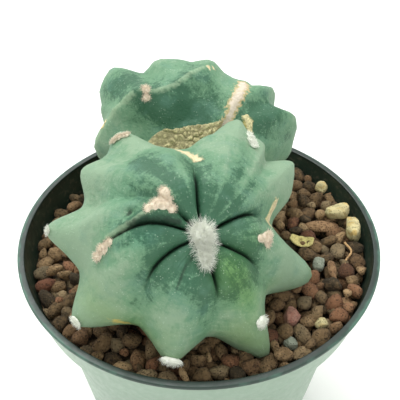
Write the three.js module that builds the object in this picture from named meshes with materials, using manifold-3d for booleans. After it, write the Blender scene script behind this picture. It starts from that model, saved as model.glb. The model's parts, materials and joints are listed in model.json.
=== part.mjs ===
// Potted spineless blue barrel cactus, in millimetres, +Z up, origin at the middle of the pot's foot.
// The old stem at the back has lost its growing point, which has corked over. The young head that
// grew from its side leans forward over the gravel.
import * as THREE from "three";
import { mergeVertices } from "three/addons/utils/BufferGeometryUtils.js";
import Module from "manifold-3d";

const wasm = await Module();
wasm.setup();

// Gap between pieces that rest on each other
const GAP = 0.35;

// Pot
const POT_SIDES = 48;
const POT_HEIGHT = 92;
const RIM_RADIUS = 60;
const LIP_HEIGHT = 1.6;
const LIP_WIDTH = 2.3;
const LIP_ROUND = 0.6;
const COLLAR_HEIGHT = 14;
const COLLAR_TOP_RADIUS = 58.6;
const COLLAR_FOOT_RADIUS = 56.4;
const BODY_TOP_RADIUS = 51.5;
const BODY_FOOT_RADIUS = 40.4;
const WALL = 1.2;
const FOOT_RING_WIDTH = 3;
const FOOT_RING_HEIGHT = 2;
const DRAIN_HOLES = 6;
const DRAIN_HOLE_RADIUS = 4;
const DRAIN_CIRCLE_RADIUS = 25;
const DRAIN_HOLE_SIDES = 14;

// Gravel filling. Its top rises to the right.
const GRAVEL_BED_HEIGHT = 82.6;
const GRAVEL_TILT = 0.03;
const STONE_RADIUS = [3.7, 4.9];
const STONE_FLATNESS = 0.85;
const STONE_STRETCH = [0.85, 1.15];
const STONE_RISE = [-0.45, 1.05];
const STONE_PACKING = 0.87;
const STONE_DRAWS = 9000;
const STONES_REACH = 57.4;
const PLACES_SEED = 11;
const TURNS_SEED = 23;
// Stones that bear the loose pieces: radius, and how far below a piece's underside their middles lie
const SEAT_RADIUS = 3.8;
const SEAT_BELOW_STONE = 1.9;
const SEAT_BELOW_SCRAP = 2.4;

// Root, hidden in the gravel
const ROOT_MIDDLE = [-2, 20];
const ROOT_PROFILE = [[0, 44], [2.5, 45], [5, 52], [8, 64], [12, 74], [15, 82], [13, 92], [0, 92]];
const ROOT_SIDES = 20;

// Young head. Angles are in degrees: polar from its crown, azimuth round its axis from the right.
// A rib's furrow and crest are given near the crown and at the side, where the ribs have swung round.
const YOUNG_HEAD = {
  centre: [-6, -19, 106],
  crown: [1.2, -34.3, 125],
  dome: [[0, 24.5], [12, 25.5], [35, 29.5], [60, 31.5], [90, 30.5], [120, 27], [150, 24], [180, 23]],
  valleyDepth: [[0, 0], [12, 0.7], [30, 1.4], [46, 1.2], [64, 0.4], [75, 0], [180, 0]],
  creaseDepth: [[0, 0], [8, 1.3], [20, 2.6], [45, 2.2], [62, 1.4], [180, 0]],
  webDepth: [[0, 0], [30, 0], [60, 3], [85, 4.6], [110, 5], [150, 1], [180, 0]],
  crestSharpness: 1.5,
  ribs: [
    { furrow: [32, 9], crest: [38, 36], creaseTo: 46 },
    { furrow: [44, 45], crest: [51, 51], startsAt: 45, depth: 0.7 },
    { furrow: [60, 58], crest: [72, 66], startsAt: 55, depth: 0.7 },
    { furrow: [97, 86], crest: [105, 115], creaseTo: 47 },
    { furrow: [114, 129], crest: [122, 143], startsAt: 50, depth: 0.35 },
    { furrow: [134, 160], crest: [147, 175], creaseTo: 24 },
    { furrow: [160, 196], crest: [184, 217], depth: 0.5, creaseTo: 60 },
    { furrow: [204, 243], crest: [244, 264], creaseTo: 46 },
    { furrow: [290, 281], crest: [314, 308], creaseTo: 40 },
    { furrow: [342, 328], crest: [367, 348], creaseTo: 45 },
  ],
  tubercles: [
    { at: [100, 173], high: 10.2, wide: 13, long: 14 },
    { at: [97, 217], high: 8.5, wide: 12, long: 14 },
    { at: [76, 264], high: 4.6, wide: 14, long: 14 },
    { at: [81, 307], high: 11.2, wide: 9.5, long: 14 },
    { at: [87, 348], high: 13, wide: 13, long: 15 },
    { at: [87.5, 37.5], high: 14.2, wide: 10, long: 18 },
    { at: [68, 17], high: -1.6, wide: 7, long: 12 },
    { at: [79, 56], high: 5.5, wide: 6.5, long: 9 },
    { at: [90, 65], high: 12.5, wide: 9.5, long: 18 },
    { at: [99, 118], high: 9.4, wide: 10.5, long: 13 },
    { at: [101, 141], high: 6.6, wide: 12, long: 16 },
    { at: [45, 162], high: -2.6, wide: 3.6, long: 5 },
    { at: [80, 24], high: 5, wide: 7, long: 9 },
    { at: [76, 81], high: 4, wide: 8, long: 12 },
  ],
  ridges: [
    { wide: 3.4, path: [[30, 152, 1.4], [36, 163, 2], [46, 174, 1.8], [60, 186, 0.6]] },
  ],
  steps: 6,
  rows: 30,
};

// Old stem. Its girth is given by azimuth, since each rib on it has grown differently.
const OLD_STEM = {
  centre: [-1, 27, 105.5],
  crown: [-2.5, 16.5, 119.5],
  dome: [[0, 17], [20, 18], [34, 21.5], [48, 25], [120, 25], [180, 31]],
  girth: [
    [2, 31], [16, 34], [26, 32.6], [37, 34.6], [46, 30.2], [58, 30.2], [66, 30.4], [80, 32.4],
    [90, 33], [99, 34], [114, 34.4], [123, 34.5], [136, 41.6], [147, 41], [156, 38], [167, 34.2],
    [180, 33.6], [200, 30], [222, 33], [245, 29], [268, 33], [290, 29], [315, 33], [340, 29],
  ],
  girthFrom: [28, 76],
  taper: [[0, 0], [82, 0], [112, 4], [140, 7.5], [180, 8]],
  valleyDepth: [[0, 0], [180, 0]],
  creaseDepth: [[0, 0], [180, 0]],
  webDepth: [[0, 0], [50, 0], [85, 2.4], [120, 3.6], [150, 1.5], [180, 0]],
  crestSharpness: 1.4,
  ribs: [
    { furrow: [-10, -10], crest: [16, 16] },
    { furrow: [26, 26], crest: [37, 37] },
    { furrow: [60, 60], crest: [80, 80] },
    { furrow: [92, 92], crest: [114, 114] },
    { furrow: [124, 124], crest: [137, 137] },
    { furrow: [160, 160], crest: [180, 180] },
    { furrow: [200, 200], crest: [222, 222] },
    { furrow: [245, 245], crest: [268, 268] },
    { furrow: [290, 290], crest: [315, 315] },
  ],
  tubercles: [
    { at: [104, 17], high: 2.6, wide: 9, long: 10 },
    { at: [106, 80], high: 2, wide: 9, long: 11 },
    { at: [106, 113], high: 2, wide: 9, long: 11 },
    { at: [104, 139], high: 2.6, wide: 9, long: 10 },
    { at: [104, 180], high: 2.4, wide: 9, long: 10 },
    { at: [92, 0], high: 4.5, wide: 13, long: 12 },
  ],
  ridges: [
    {
      wide: 7,
      path: [[39, 141, 5], [37.5, 120, 5.2], [38, 102, 5], [43, 90, 4.4], [50, 79, 3.6], [60, 74, 2]],
    },
    { wide: 9, path: [[48, 108, 1.5], [58, 112, 2.5], [80, 114, 0]] },
    { wide: 6, path: [[39, 141, 5], [45, 154, 4.6], [56, 166.5, 4], [67, 178, 3], [84, 184, 1]] },
    { wide: 5, path: [[30, 28, 2.5], [50, 44, 2.2], [84, 54, 0.6]] },
    { wide: 7, path: [[57, 43, 0.2], [62, 35, 0.8], [66, 17, 2.5], [77, 13, 2.5], [95, 16, 0]] },
  ],
  steps: 6,
  rows: 24,
};
const RIDGE_ROUND = 2;
const LATE_FURROW_OPENS_OVER = 25;
const RIBS_SWING_BETWEEN = [10, 85];
const VALLEY_FULLNESS = 2.4;
const CREASE_WIDTH = 0.55;
const CREASE_ENDS_OVER = 14;
const CREST_ROUND = 0.2;
const TUBERCLE_POINT = 1.4;
const TUBERCLE_ROUND = 0.2;
const RIB_REACH = 28;
const FOOT_FADES_BETWEEN = [150, 180];
const ROW_SPREAD = 1.15;
const COLUMN_SPREAD = 1.5;

// Wool tufts. Each pad: polar and azimuth of its middle, width and length, height.
const TUFTS = {
  wool_crown: {
    head: "young",
    pads: [[1, 90, 6.6, 6.6, 2.5], [8, 291, 5.2, 6, 2.1], [15, 289, 4.2, 5.6, 1.8]],
    bridgesFolds: true,
  },
  wool_shoulder: {
    head: "young",
    pads: [[31, 135.5, 3.8, 4.4, 1.5], [30.5, 148, 4, 3, 1.4], [27.5, 143, 4, 3.6, 1.6]],
  },
  wool_left_slope: { head: "young", pads: [[56, 186, 2.8, 4, 1.4], [61.5, 190.5, 2.8, 4, 1.4]] },
  wool_right_slope: { head: "young", pads: [[38, 2, 4.4, 4.4, 1.5], [33.5, 1.7, 2.4, 3, 1.3]] },
  wool_left_tip: { head: "young", pads: [[94, 175, 3, 3, 1.3]] },
  wool_lower_left_tip: { head: "young", pads: [[91, 217, 4, 3.2, 1.4]] },
  wool_front_tip: { head: "young", pads: [[73, 262, 6.4, 3.6, 1.6]] },
  wool_lower_right: { head: "young", pads: [[61, 311, 3.8, 4.2, 1.8]] },
  wool_upper_right: { head: "young", pads: [[77, 60.3, 2.9, 4, 1.4], [72.5, 57.5, 2.9, 4.4, 1.4]] },
  wool_upper_left: { head: "young", pads: [[92, 121.6, 3.2, 3.2, 1.4], [90, 118, 3, 3.2, 1.4]] },
  wool_old_stem: { head: "old", pads: [[38, 134, 2.8, 3.2, 1.6], [36, 139, 2.6, 3, 1.4]] },
};
const PAD_SIDES = 10;
const PAD_ROWS = 6;
const PAD_RIPPLE = 0.12;

// Loose stones on the gravel: middle, size, turn about Z in degrees, how round each is
const LOOSE_STONES = {
  pumice_slab: { middle: [49, 13.8, 89.1], size: [9.8, 5.4, 6.4], turn: 20, round: 0.3, paint: "pumice" },
  pumice_block: { middle: [52.9, 5.2, 88.9], size: [5.2, 9.6, 7.8], turn: 6, round: 0.3, paint: "pumice" },
  pumice_pebble: { middle: [44.9, 28.7, 88], size: [5, 4.6, 5], turn: 30, round: 0.8, paint: "pumice" },
  pink_stone: { middle: [28.8, -30.2, 86], size: [5.2, 7, 5.2], turn: -28, round: 0.6, paint: "pink" },
  yellow_pebble: {
    middle: [37.6, -33.2, 85.8], size: [4.2, 4.4, 4.6], turn: 10, round: 0.9, paint: "pumice",
  },
  grey_pebble: { middle: [27.6, -40.2, 85.4], size: [4.4, 4, 4.4], turn: 0, round: 0.9, paint: "grey" },
  grey_chip: { middle: [39.7, -8.7, 86.8], size: [4, 4.6, 4.4], turn: -16, round: 0.3, paint: "grey" },
};
const STONE_CORNER_REACH = 1.15;
const STONE_SHAKE = [0.86, 1.04];

// Dead scraps on the gravel
const ROOTLET_ROUTE = [[49.2, -0.8, 88.9], [50.9, -4.7, 88.6], [48.6, -8.4, 88.1], [47.8, -13.2, 87.6]];
const ROOTLET_RADIUS = 0.45;
const ROOTLET_SIDES = 6;
const ROOTLET_STEPS = 9;
const HUSK = {
  middle: [34.9, 0.8, 87.2], size: [7.4, 4.6, 0.9], turn: -18,
  curl: 1.9, taper: 0.45, twist: 0.25, cells: [6, 2, 1],
};

const COLOURS = {
  pot: [0xb0c3b2, 0.45],
  gravel: [0x7d5544, 0.95],
  cactus: [0x7fa98b, 0.6],
  wool: [0xe4ddcf, 1],
  pumice: [0xc9bd8c, 0.95],
  pink: [0xb08374, 0.95],
  grey: [0x9aa294, 0.95],
  rootlet: [0xb9976a, 0.9],
  husk: [0xc2b266, 0.85],
};

const radians = THREE.MathUtils.degToRad;

// Seeded random numbers between 0 and 1
function randomFrom(seed) {
  let state = seed;
  return () => {
    state = (state + 0x6d2b79f5) | 0;
    let t = Math.imul(state ^ (state >>> 15), 1 | state);
    t = (t + Math.imul(t ^ (t >>> 7), 61 | t)) ^ t;
    return ((t ^ (t >>> 14)) >>> 0) / 4294967296;
  };
}

// Closed geometry to solid, and back
function solidOf(geometry) {
  const bare = new THREE.BufferGeometry();
  bare.setAttribute("position", geometry.getAttribute("position"));
  bare.setIndex(geometry.index);
  const merged = mergeVertices(bare, 1e-4);
  const corners = merged.index.array;
  const triangles = [];
  for (let i = 0; i < corners.length; i += 3) {
    const [a, b, c] = corners.subarray(i, i + 3);
    if (a !== b && b !== c && c !== a) triangles.push(a, b, c);
  }
  return new wasm.Manifold(new wasm.Mesh({
    numProp: 3,
    vertProperties: merged.attributes.position.array,
    triVerts: new Uint32Array(triangles),
  }));
}

function geometryOf(solid) {
  const mesh = solid.getMesh();
  const geometry = new THREE.BufferGeometry();
  geometry.setAttribute("position", new THREE.BufferAttribute(mesh.vertProperties, 3));
  geometry.setIndex(new THREE.BufferAttribute(mesh.triVerts, 1));
  geometry.computeVertexNormals();
  return geometry;
}

function joined(solids) {
  return solids.reduce((whole, solid) => whole.add(solid));
}

function largestBody(solid) {
  return solid.decompose().reduce((a, b) => (a.volume() > b.volume() ? a : b));
}

function turned(profile, sides) {
  const points = profile.map(([radius, height]) => new THREE.Vector2(radius, height));
  return new THREE.LatheGeometry(points, sides).rotateX(Math.PI / 2);
}

// Smooth curves through hand-set points
function smoothStep(from, to, x) {
  const t = THREE.MathUtils.clamp((x - from) / (to - from), 0, 1);
  return t * t * (3 - 2 * t);
}

function curveAt(points, x) {
  let value = points[0][1];
  for (let i = 0; i + 1 < points.length; i += 1) {
    const [from, low] = points[i];
    const [to, high] = points[i + 1];
    if (x >= from) value = low + (high - low) * smoothStep(from, to, x);
  }
  return value;
}

function ringCurveAt(points, angle) {
  const [firstAngle, firstValue] = points[0];
  const [lastAngle, lastValue] = points[points.length - 1];
  const ring = [[lastAngle - 360, lastValue], ...points, [firstAngle + 360, firstValue]];
  return curveAt(ring, THREE.MathUtils.euclideanModulo(angle, 360));
}

// Directions on a head, in its own frame: polar and azimuth in degrees, Z to the crown
function direction(polar, azimuth) {
  const outOfAxis = Math.sin(radians(polar));
  return new THREE.Vector3(
    outOfAxis * Math.cos(radians(azimuth)),
    outOfAxis * Math.sin(radians(azimuth)),
    Math.cos(radians(polar)),
  );
}

function headFrame(head) {
  const centre = new THREE.Vector3(...head.centre);
  const axis = new THREE.Vector3(...head.crown).sub(centre).normalize();
  const right = new THREE.Vector3(1, 0, 0).addScaledVector(axis, -axis.x).normalize();
  const up = new THREE.Vector3().crossVectors(axis, right);
  return { centre, turn: new THREE.Matrix4().makeBasis(right, up, axis) };
}

// Azimuths of a rib's furrow and crest at one polar angle, since the ribs swing round
function swung([atCrown, atSide], polar) {
  return atCrown + (atSide - atCrown) * smoothStep(...RIBS_SWING_BETWEEN, polar);
}

function ribEdges(head, polar, rib) {
  const next = (rib + 1) % head.ribs.length;
  const lap = rib + 1 === head.ribs.length ? 360 : 0;
  const start = swung(head.ribs[rib].furrow, polar);
  const crest = swung(head.ribs[rib].crest, polar);
  const end = swung(head.ribs[next].furrow, polar) + lap;
  return { start, crest, end, next };
}

// How much of a furrow is open at a polar angle, and how much of a crease still runs in it
function cutShare(furrow, polar) {
  const { startsAt, depth = 1 } = furrow;
  return depth * (startsAt ? smoothStep(startsAt, startsAt + LATE_FURROW_OPENS_OVER, polar) : 1);
}

function creaseShare(furrow, polar) {
  const endsAt = furrow.creaseTo ?? -CREASE_ENDS_OVER;
  return 1 - smoothStep(endsAt - CREASE_ENDS_OVER, endsAt + CREASE_ENDS_OVER / 3, polar);
}

// How far up from the nearer furrow to the crest, 0 to 1, how many degrees off, and which furrow
function placeOnRib(head, polar, azimuth) {
  for (let rib = 0; rib < head.ribs.length; rib += 1) {
    const { start, crest, end, next } = ribEdges(head, polar, rib);
    const rise = THREE.MathUtils.euclideanModulo(azimuth - start + 1e-9, 360);
    const fall = end - start - rise;
    if (start + rise <= crest) return { up: rise / (crest - start), off: rise, furrow: head.ribs[rib] };
    if (fall > 0) return { up: fall / (end - crest), off: fall, furrow: head.ribs[next] };
  }
  return { up: 0, off: 0, furrow: head.ribs[0] };
}

// A distance from a sharp crest or point, rounded off within the radius
function rounded(distance, radius) {
  return Math.hypot(distance, radius) - radius;
}

// How far the skin lies in from the crests: a broad valley, a narrow crease, and webs between ribs
function furrowDepth(head, polar, azimuth) {
  const { up, off, furrow } = placeOnRib(head, polar, azimuth);
  const down = THREE.MathUtils.clamp(1 - up, 0, 1);
  const cut = cutShare(furrow, polar);
  const millimetresOff = radians(off) * RIB_REACH * Math.sin(radians(polar));
  const fromCrest = rounded(down, CREST_ROUND) / rounded(1, CREST_ROUND);
  const valley = cut * down ** VALLEY_FULLNESS;
  const crease = creaseShare(furrow, polar) * Math.exp(-millimetresOff / CREASE_WIDTH);
  const web = cut * (1 - (1 - fromCrest) ** head.crestSharpness);
  return curveAt(head.valleyDepth, polar) * valley
    + curveAt(head.creaseDepth, polar) * crease
    + curveAt(head.webDepth, polar) * web;
}

function tubercleHeight(tubercle, towards) {
  const [polar, azimuth] = tubercle.at;
  const middle = direction(polar, azimuth);
  if (towards.dot(middle) <= 0) return 0;
  const along = direction(polar + 90, azimuth);
  const across = new THREE.Vector3().crossVectors(middle, along);
  const degreesAcross = THREE.MathUtils.radToDeg(towards.dot(across)) / tubercle.wide;
  const degreesAlong = THREE.MathUtils.radToDeg(towards.dot(along)) / tubercle.long;
  const off = rounded(Math.hypot(degreesAcross, degreesAlong), TUBERCLE_ROUND);
  return tubercle.high * Math.exp(-(off ** TUBERCLE_POINT));
}

function ridgeHeight(ridge, towards) {
  let highest = 0;
  for (let i = 0; i + 1 < ridge.path.length; i += 1) {
    const [startPolar, startAzimuth, startHigh] = ridge.path[i];
    const [endPolar, endAzimuth, endHigh] = ridge.path[i + 1];
    const start = direction(startPolar, startAzimuth);
    const run = direction(endPolar, endAzimuth).sub(start);
    const along = THREE.MathUtils.clamp(towards.clone().sub(start).dot(run) / run.lengthSq(), 0, 1);
    const nearest = start.addScaledVector(run, along).normalize();
    const degreesOff = THREE.MathUtils.radToDeg(towards.distanceTo(nearest));
    const high = startHigh + (endHigh - startHigh) * along;
    highest = Math.max(highest, high * Math.exp(-rounded(degreesOff, RIDGE_ROUND) / ridge.wide));
  }
  return highest;
}

function headRadius(head, polar, azimuth) {
  let radius = curveAt(head.dome, polar);
  if (head.girth) {
    const share = smoothStep(...head.girthFrom, polar) * (1 - smoothStep(...FOOT_FADES_BETWEEN, polar));
    radius += share * (ringCurveAt(head.girth, azimuth) - curveAt(head.taper, polar) - radius);
  }
  const towards = direction(polar, azimuth);
  radius -= furrowDepth(head, polar, azimuth);
  head.tubercles.forEach((tubercle) => { radius += tubercleHeight(tubercle, towards); });
  head.ridges.forEach((ridge) => { radius += ridgeHeight(ridge, towards); });
  return radius;
}

function headPoint(head, frame, polar, azimuth, outwards) {
  const radius = headRadius(head, polar, azimuth) + outwards;
  return direction(polar, azimuth).multiplyScalar(radius).applyMatrix4(frame.turn).add(frame.centre);
}

// A sphere whose columns follow the furrows and crests, moved out to the head's surface
function headSolid(head, outwards = 0) {
  const frame = headFrame(head);
  const columns = head.ribs.length * head.steps;
  const geometry = new THREE.SphereGeometry(1, columns, head.rows);
  const place = geometry.getAttribute("position");
  const lattice = geometry.getAttribute("uv");
  for (let i = 0; i < place.count; i += 1) {
    const row = Math.round((1 - lattice.getY(i)) * head.rows);
    const polar = 180 * (row / head.rows) ** ROW_SPREAD;
    const isPole = row === 0 || row === head.rows;
    const column = isPole ? 0 : Math.round(lattice.getX(i) * columns) % columns;
    const across = (column % head.steps) / head.steps;
    const { start, crest, end } = ribEdges(head, polar, Math.floor(column / head.steps));
    const rising = start + (crest - start) * (2 * across) ** COLUMN_SPREAD;
    const falling = end - (end - crest) * (2 - 2 * across) ** COLUMN_SPREAD;
    const azimuth = across < 0.5 ? rising : falling;
    const point = headPoint(head, frame, polar, isPole ? 0 : azimuth, outwards);
    place.setXYZ(i, point.x, point.y, point.z);
  }
  return solidOf(geometry);
}

function rootSolid(outwards = 0) {
  const profile = ROOT_PROFILE.map(([radius, height], i) => [
    radius > 0 ? radius + outwards : 0, i === 0 ? height - outwards : height]);
  const geometry = turned(profile, ROOT_SIDES);
  return solidOf(geometry.translate(...ROOT_MIDDLE, 0));
}

// A pad of wool lying on a head, lumpy and swollen in the middle
function padSolid(head, [polar, azimuth, wide, long, high]) {
  const frame = headFrame(head);
  const geometry = new THREE.SphereGeometry(1, PAD_SIDES, PAD_ROWS);
  const place = geometry.getAttribute("position");
  for (let i = 0; i < place.count; i += 1) {
    const [x, y, z] = [place.getX(i), place.getY(i), place.getZ(i)];
    const ripple = 1 + PAD_RIPPLE * Math.sin(5 * x + 3 * z) * Math.cos(4 * z - 2 * x) * (1 - Math.abs(y));
    place.setXYZ(i, x * ripple, y, z * ripple);
  }
  const out = direction(polar, azimuth);
  const along = direction(polar + 90, azimuth);
  const across = new THREE.Vector3().crossVectors(out, along);
  geometry.scale(wide / 2, high, long / 2);
  geometry.applyMatrix4(new THREE.Matrix4().makeBasis(across, out, along));
  geometry.applyMatrix4(frame.turn);
  return solidOf(geometry.translate(...headPoint(head, frame, polar, azimuth, 0)));
}

// A broken stone: a block with its corners drawn in and shaken
function chunkSolid({ middle, size, turn, round }, seed, outwards = 0) {
  const random = randomFrom(seed);
  const geometry = new THREE.BoxGeometry(2, 2, 2, 2, 2, 2);
  geometry.deleteAttribute("normal");
  geometry.deleteAttribute("uv");
  const merged = mergeVertices(geometry);
  const place = merged.getAttribute("position");
  for (let i = 0; i < place.count; i += 1) {
    const corner = new THREE.Vector3().fromBufferAttribute(place, i);
    const ball = corner.clone().normalize().multiplyScalar(STONE_CORNER_REACH);
    corner.lerp(ball, round).multiplyScalar(THREE.MathUtils.lerp(...STONE_SHAKE, random()));
    place.setXYZ(i, corner.x, corner.y, corner.z);
  }
  merged.scale(...size.map((side) => side / 2 + outwards));
  merged.rotateZ(radians(turn));
  return solidOf(merged.translate(...middle));
}

function gravelStone({ x, y, z, radius }, random) {
  const geometry = new THREE.IcosahedronGeometry(1, 0);
  geometry.rotateX(random() * Math.PI);
  geometry.rotateZ(random() * Math.PI);
  const stretch = THREE.MathUtils.lerp(...STONE_STRETCH, random());
  geometry.scale(radius * stretch, radius, radius * STONE_FLATNESS);
  geometry.rotateZ(random() * Math.PI);
  return solidOf(geometry.translate(x, y, z));
}

// Where the gravel stones lie: seeded draws, kept when clear of each other and of what lies there
function stonePlaces(isTaken) {
  const random = randomFrom(PLACES_SEED);
  const places = [];
  for (let draw = 0; draw < STONE_DRAWS; draw += 1) {
    const radius = THREE.MathUtils.lerp(...STONE_RADIUS, random());
    const reach = (STONES_REACH - radius) * Math.sqrt(random());
    const around = random() * 2 * Math.PI;
    const x = reach * Math.cos(around);
    const y = reach * Math.sin(around);
    const rise = THREE.MathUtils.lerp(...STONE_RISE, random());
    const z = GRAVEL_BED_HEIGHT + GRAVEL_TILT * x + rise;
    const clear = places.every((p) => Math.hypot(p.x - x, p.y - y) > STONE_PACKING * (p.radius + radius));
    if (clear && !isTaken(x, y, z, radius)) places.push({ x, y, z, radius });
  }
  return places;
}

function potSolid() {
  const collarFoot = POT_HEIGHT - COLLAR_HEIGHT;
  const lipFoot = POT_HEIGHT - LIP_HEIGHT;
  const floorTop = FOOT_RING_HEIGHT + WALL;
  const profile = [
    [0, FOOT_RING_HEIGHT],
    [BODY_FOOT_RADIUS - FOOT_RING_WIDTH, FOOT_RING_HEIGHT],
    [BODY_FOOT_RADIUS - FOOT_RING_WIDTH, 0],
    [BODY_FOOT_RADIUS - LIP_ROUND, 0],
    [BODY_FOOT_RADIUS, LIP_ROUND],
    [BODY_TOP_RADIUS, collarFoot - LIP_ROUND],
    [BODY_TOP_RADIUS + LIP_ROUND, collarFoot],
    [COLLAR_FOOT_RADIUS - LIP_ROUND, collarFoot],
    [COLLAR_FOOT_RADIUS, collarFoot + LIP_ROUND],
    [COLLAR_TOP_RADIUS, lipFoot],
    [RIM_RADIUS, lipFoot + LIP_ROUND / 2],
    [RIM_RADIUS, POT_HEIGHT - LIP_ROUND],
    [RIM_RADIUS - LIP_ROUND, POT_HEIGHT],
    [RIM_RADIUS - LIP_WIDTH + LIP_ROUND, POT_HEIGHT],
    [RIM_RADIUS - LIP_WIDTH, POT_HEIGHT - LIP_ROUND],
    [COLLAR_TOP_RADIUS - WALL, lipFoot - WALL],
    [COLLAR_FOOT_RADIUS - WALL, collarFoot + WALL],
    [BODY_TOP_RADIUS - WALL, collarFoot + WALL],
    [BODY_FOOT_RADIUS - WALL, floorTop],
    [0, floorTop],
  ];
  let pot = solidOf(turned(profile, POT_SIDES));
  for (let i = 0; i < DRAIN_HOLES; i += 1) {
    const drill = new THREE.CylinderGeometry(
      DRAIN_HOLE_RADIUS, DRAIN_HOLE_RADIUS, 4 * floorTop, DRAIN_HOLE_SIDES);
    drill.rotateX(Math.PI / 2).translate(DRAIN_CIRCLE_RADIUS, 0, 0);
    drill.rotateZ((i * 2 * Math.PI) / DRAIN_HOLES);
    pot = pot.subtract(solidOf(drill));
  }
  return pot;
}

// The space inside the pot, clear of its walls, filled to one height
function insideOfPot(fillHeight) {
  const shelf = POT_HEIGHT - COLLAR_HEIGHT + WALL + GAP;
  const lean = (COLLAR_TOP_RADIUS - COLLAR_FOOT_RADIUS) / (COLLAR_HEIGHT - LIP_HEIGHT);
  const shelfRadius = COLLAR_FOOT_RADIUS - WALL - GAP;
  return solidOf(turned([
    [0, FOOT_RING_HEIGHT + WALL + GAP],
    [BODY_FOOT_RADIUS - WALL - GAP, FOOT_RING_HEIGHT + WALL + GAP],
    [BODY_TOP_RADIUS - WALL - GAP, shelf],
    [shelfRadius, shelf],
    [shelfRadius + lean * (fillHeight - shelf), fillHeight],
    [0, fillHeight],
  ], POT_SIDES));
}

// A stone under each loose piece
function seatPlaces() {
  const underStones = Object.values(LOOSE_STONES).map(({ middle: [x, y, z], size }) => (
    { x, y, z: z - size[2] / 2 - SEAT_BELOW_STONE, radius: SEAT_RADIUS }));
  const scraps = [HUSK.middle, ...ROOTLET_ROUTE.slice(1)];
  const underScraps = scraps.map(([x, y, z]) => (
    { x, y, z: z - ROOTLET_RADIUS - SEAT_BELOW_SCRAP, radius: SEAT_RADIUS }));
  return [...underStones, ...underScraps];
}

// The filling follows the pot's inner wall, and stones are heaped over its top
function gravelSolid(grownPlant, looseSockets, isTaken) {
  const random = randomFrom(TURNS_SEED);
  const stones = [...stonePlaces(isTaken), ...seatPlaces()].map((place) => gravelStone(place, random));
  const heaped = joined([insideOfPot(GRAVEL_BED_HEIGHT), ...stones]).intersect(insideOfPot(POT_HEIGHT));
  const planted = heaped.subtract(grownPlant);
  return largestBody(looseSockets.reduce((left, socket) => left.subtract(socket), planted));
}

function rootletSolid(outwards = 0) {
  const route = new THREE.CatmullRomCurve3(ROOTLET_ROUTE.map((point) => new THREE.Vector3(...point)));
  const section = new THREE.Shape();
  for (let i = 0; i < ROOTLET_SIDES; i += 1) {
    const around = (i * 2 * Math.PI) / ROOTLET_SIDES;
    const radius = ROOTLET_RADIUS + outwards;
    const point = [radius * Math.cos(around), radius * Math.sin(around)];
    if (i === 0) section.moveTo(...point);
    else section.lineTo(...point);
  }
  section.closePath();
  return solidOf(new THREE.ExtrudeGeometry(section, {
    steps: ROOTLET_STEPS, bevelEnabled: false, extrudePath: route }));
}

// A dry curled flake
function huskSolid(outwards = 0) {
  const geometry = new THREE.BoxGeometry(...HUSK.size.map((side) => side + 2 * outwards), ...HUSK.cells);
  const place = geometry.getAttribute("position");
  const halfLength = HUSK.size[0] / 2;
  for (let i = 0; i < place.count; i += 1) {
    const along = place.getX(i) / halfLength;
    const across = place.getY(i) * (1 - HUSK.taper * along * along);
    const lift = HUSK.curl * along * along + HUSK.twist * across * along;
    place.setXYZ(i, place.getX(i), across, place.getZ(i) + lift);
  }
  geometry.rotateZ(radians(HUSK.turn));
  return solidOf(geometry.translate(...HUSK.middle));
}

function isInside(head, frame, x, y, z) {
  const local = new THREE.Vector3(x, y, z).sub(frame.centre);
  local.applyMatrix4(new THREE.Matrix4().copy(frame.turn).transpose());
  const polar = THREE.MathUtils.radToDeg(Math.acos(local.z / local.length()));
  const azimuth = THREE.MathUtils.radToDeg(Math.atan2(local.y, local.x));
  return local.length() < headRadius(head, polar, azimuth);
}

function named(name, solid, paint) {
  const [color, roughness] = COLOURS[paint];
  const material = new THREE.MeshStandardMaterial({ color, roughness, metalness: 0 });
  const mesh = new THREE.Mesh(geometryOf(solid), material);
  mesh.name = name;
  return mesh;
}

const plant = new THREE.Group();
const heads = { young: YOUNG_HEAD, old: OLD_STEM };
const grownPlant = joined([headSolid(YOUNG_HEAD, GAP), headSolid(OLD_STEM, GAP), rootSolid(GAP)]);
// The crown's wool bridges the folds, so its underside is the head's without them
const noDepth = [[0, 0], [180, 0]];
const crownShape = { ...YOUNG_HEAD, valleyDepth: noDepth, creaseDepth: noDepth, steps: 2 };
const bridgedCrown = headSolid(crownShape, GAP);
plant.add(named("cactus", joined([headSolid(YOUNG_HEAD), headSolid(OLD_STEM), rootSolid()]), "cactus"));
for (const [name, tuft] of Object.entries(TUFTS)) {
  const pads = joined(tuft.pads.map((pad) => padSolid(heads[tuft.head], pad)));
  const underside = tuft.bridgesFolds ? bridgedCrown : grownPlant;
  plant.add(named(name, largestBody(pads.subtract(underside)), "wool"));
}

const litter = new THREE.Group();
const sockets = [rootletSolid(GAP), huskSolid(GAP)];
Object.entries(LOOSE_STONES).forEach(([name, stone], seed) => {
  litter.add(named(name, chunkSolid(stone, seed + 1), stone.paint));
  sockets.push(chunkSolid(stone, seed + 1, GAP));
});
litter.add(named("rootlet", rootletSolid(), "rootlet"));
litter.add(named("husk", largestBody(huskSolid().subtract(grownPlant)), "husk"));

const frames = { young: headFrame(YOUNG_HEAD), old: headFrame(OLD_STEM) };
const isTaken = (x, y, z, radius) =>
  Object.keys(heads).some((key) => isInside(heads[key], frames[key], x, y, z + radius)) ||
  Object.values(LOOSE_STONES).some(({ middle, size }) =>
    Math.hypot(middle[0] - x, middle[1] - y) < radius / 2 + Math.min(size[0], size[1]) / 2);

const pottedCactus = new THREE.Group();
pottedCactus.add(named("pot", potSolid(), "pot"));
pottedCactus.add(named("gravel", gravelSolid(grownPlant, sockets, isTaken), "gravel"));
pottedCactus.add(plant, litter);

export default pottedCactus;
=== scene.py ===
"""Potted spineless blue barrel cactus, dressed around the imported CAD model, in metres.

The old stem at the back has lost its growing point, which has corked over. The young head that grew
from its side leans forward over the grit of a round two-tone plastic pot.
"""
import json
import math

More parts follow.
